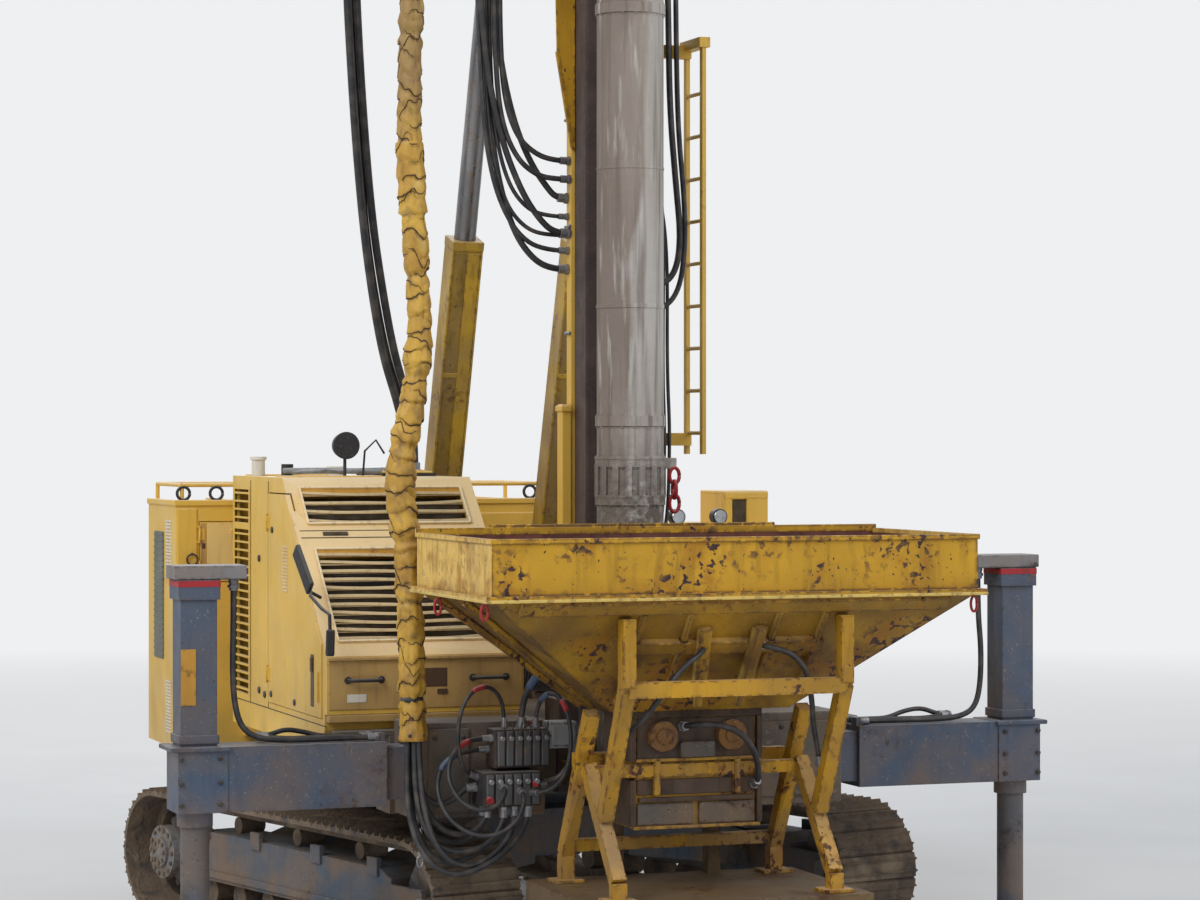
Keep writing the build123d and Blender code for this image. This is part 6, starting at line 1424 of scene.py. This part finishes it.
rods("cab_wiper", "upper", "dark_steel", [([(1.2, 1.50, 1.86), (1.32, 1.515, 2.12), (1.45, 1.545, 2.38)], 0.008)], 8)
boxes("cab_door_handle", "cab_door", "dark_steel", [
    ((1.962, 1.99), (2.70, 2.83), (2.02, 2.05)), ((1.955, 1.975), (2.69, 2.84), (1.99, 2.08))], 0.006)

# ---------------------------------------------------------------- rear, counterweight and roofs
rear_face = (0, 4.60, 0)
weight_face = (0, 4.95, 0)
inner_face = (hood_right, 0, 0)
boxes("rear_doors", "upper", "machine_yellow", [
    ((-2.30, -1.56), (-0.006, 0.014), (1.42, 3.12)), ((-1.52, -0.42), (-0.006, 0.014), (2.70, 3.12)),
    ((-0.38, 0.64), (-0.006, 0.014), (2.70, 3.12)), ((1.54, 2.26), (-0.09, -0.066), (1.50, 2.70))], 0.008, rear_face)
boxes("rear_door_slits", "upper", "seam_dark", [
    ((-2.22, -1.66), (0.010, 0.020), z) for z in spans(1.75, 1.768, 0.05, 20)] + [
    ((1.62, 2.18), (-0.07, -0.062), z) for z in spans(1.8, 1.818, 0.05, 13)], 0.001, rear_face)
rods("rear_door_locks", "upper", "dark_steel", [
    pin(x, (0.008, 0.026), z, 0.022) for x, z in (
        (-1.62, 2.9), (-1.62, 1.55), (-0.48, 2.88), (-1.46, 2.88), (0.58, 2.88), (-0.32, 2.88))] + [
    pin(1.60, (-0.07, -0.054), z, 0.022) for z in (2.6, 1.6)], 16, rear_face)
boxes("counterweight_plates", "upper", "chassis_grey", [
    ((-1.505, 1.505), (-0.34, 0.004), (2.64, 2.665)), ((-0.012, 0.012), (-0.004, 0.006), (1.16, 2.64)),
    ((-1.42, -1.10), (-0.004, 0.016), (1.75, 1.95)), ((1.10, 1.42), (-0.004, 0.016), (1.75, 1.95))], 0.006, weight_face)
rods("counterweight_lamps", "upper", "red_paint", [
    pin(x, (0.012, 0.034), 1.85, 0.055) for x in (-1.34, -1.18, 1.18, 1.34)], 28, weight_face)
rings("counterweight_eyes", "upper", "dark_steel", [(x, 4.78, 2.70, 0.07, 0.075) for x in (-1.2, 1.2)], 0.018, 24, 10)
rods("counterweight_bolts", "upper", "dark_steel", [
    pin(x, (-0.002, 0.022), z, 0.04) for x in (-0.75, 0.75) for z in (1.35, 2.42)], 6, weight_face)
boxes("cabinet_roof_ribs", "upper", "machine_yellow", [
    (x, (3.66, 4.54), (3.215, 3.236)) for x in spans(-1.9, -1.86, 0.55, 5)] + [
    (x, (3.66, 4.46), (2.745, 2.766)) for x in spans(1.2, 1.24, 0.4, 3)] + [
    ((-1.55, -0.95), (3.85, 4.35), (3.22, 3.262))], 0.006)
boxes("cabinet_roof_grille", "upper", "seam_dark", [
    (x, (3.87, 4.33), (3.26, 3.272)) for x in spans(-1.53, -1.515, 0.036, 16)], 0.001)
boxes("hood_roof_plates", "upper", "machine_yellow", [
    ((-1.96, -1.22), (1.72, 1.98), (3.428, 3.44)), ((-1.94, -1.24), (2.72, 3.0), (3.428, 3.442)),
    ((-1.13, -0.72), (2.12, 2.68), (3.45, 3.468))] + [
    (x, (2.15, 2.65), (3.466, 3.478)) for x in spans(-1.10, -1.085, 0.045, 8)], 0.005)
boxes("hood_inner_side", "upper", "machine_yellow", [
    ((-0.004, 0.012), (1.62, 2.9), (1.9, 3.3)), ((-0.004, 0.012), (0.75, 1.56), (1.9, 2.5))], 0.006, inner_face)
boxes("hood_inner_slits", "upper", "seam_dark", [
    ((0.008, 0.016), (1.75, 2.75), z) for z in spans(2.2, 2.22, 0.05, 18)], 0.001, inner_face)
boxes("right_block_panels", "upper", "machine_yellow", [
    ((2.294, 2.308), (3.64, 4.46), (1.5, 2.68)), ((0.96, 1.58), (3.566, 3.59), (1.86, 2.68)),
    ((1.62, 2.24), (3.566, 3.59), (1.86, 2.68))], 0.008)
boxes("right_block_slits", "upper", "seam_dark", [
    ((2.302, 2.312), (3.72, 4.38), z) for z in spans(1.7, 1.718, 0.05, 16)], 0.001)
rods("exhaust_cap", "upper", "dark_steel", [
    pin(0.785, 3.49, (3.70, 3.75), 0.068), ([(0.785, 3.49, 3.75), (0.785, 3.47, 3.758)], 0.07)], 24)
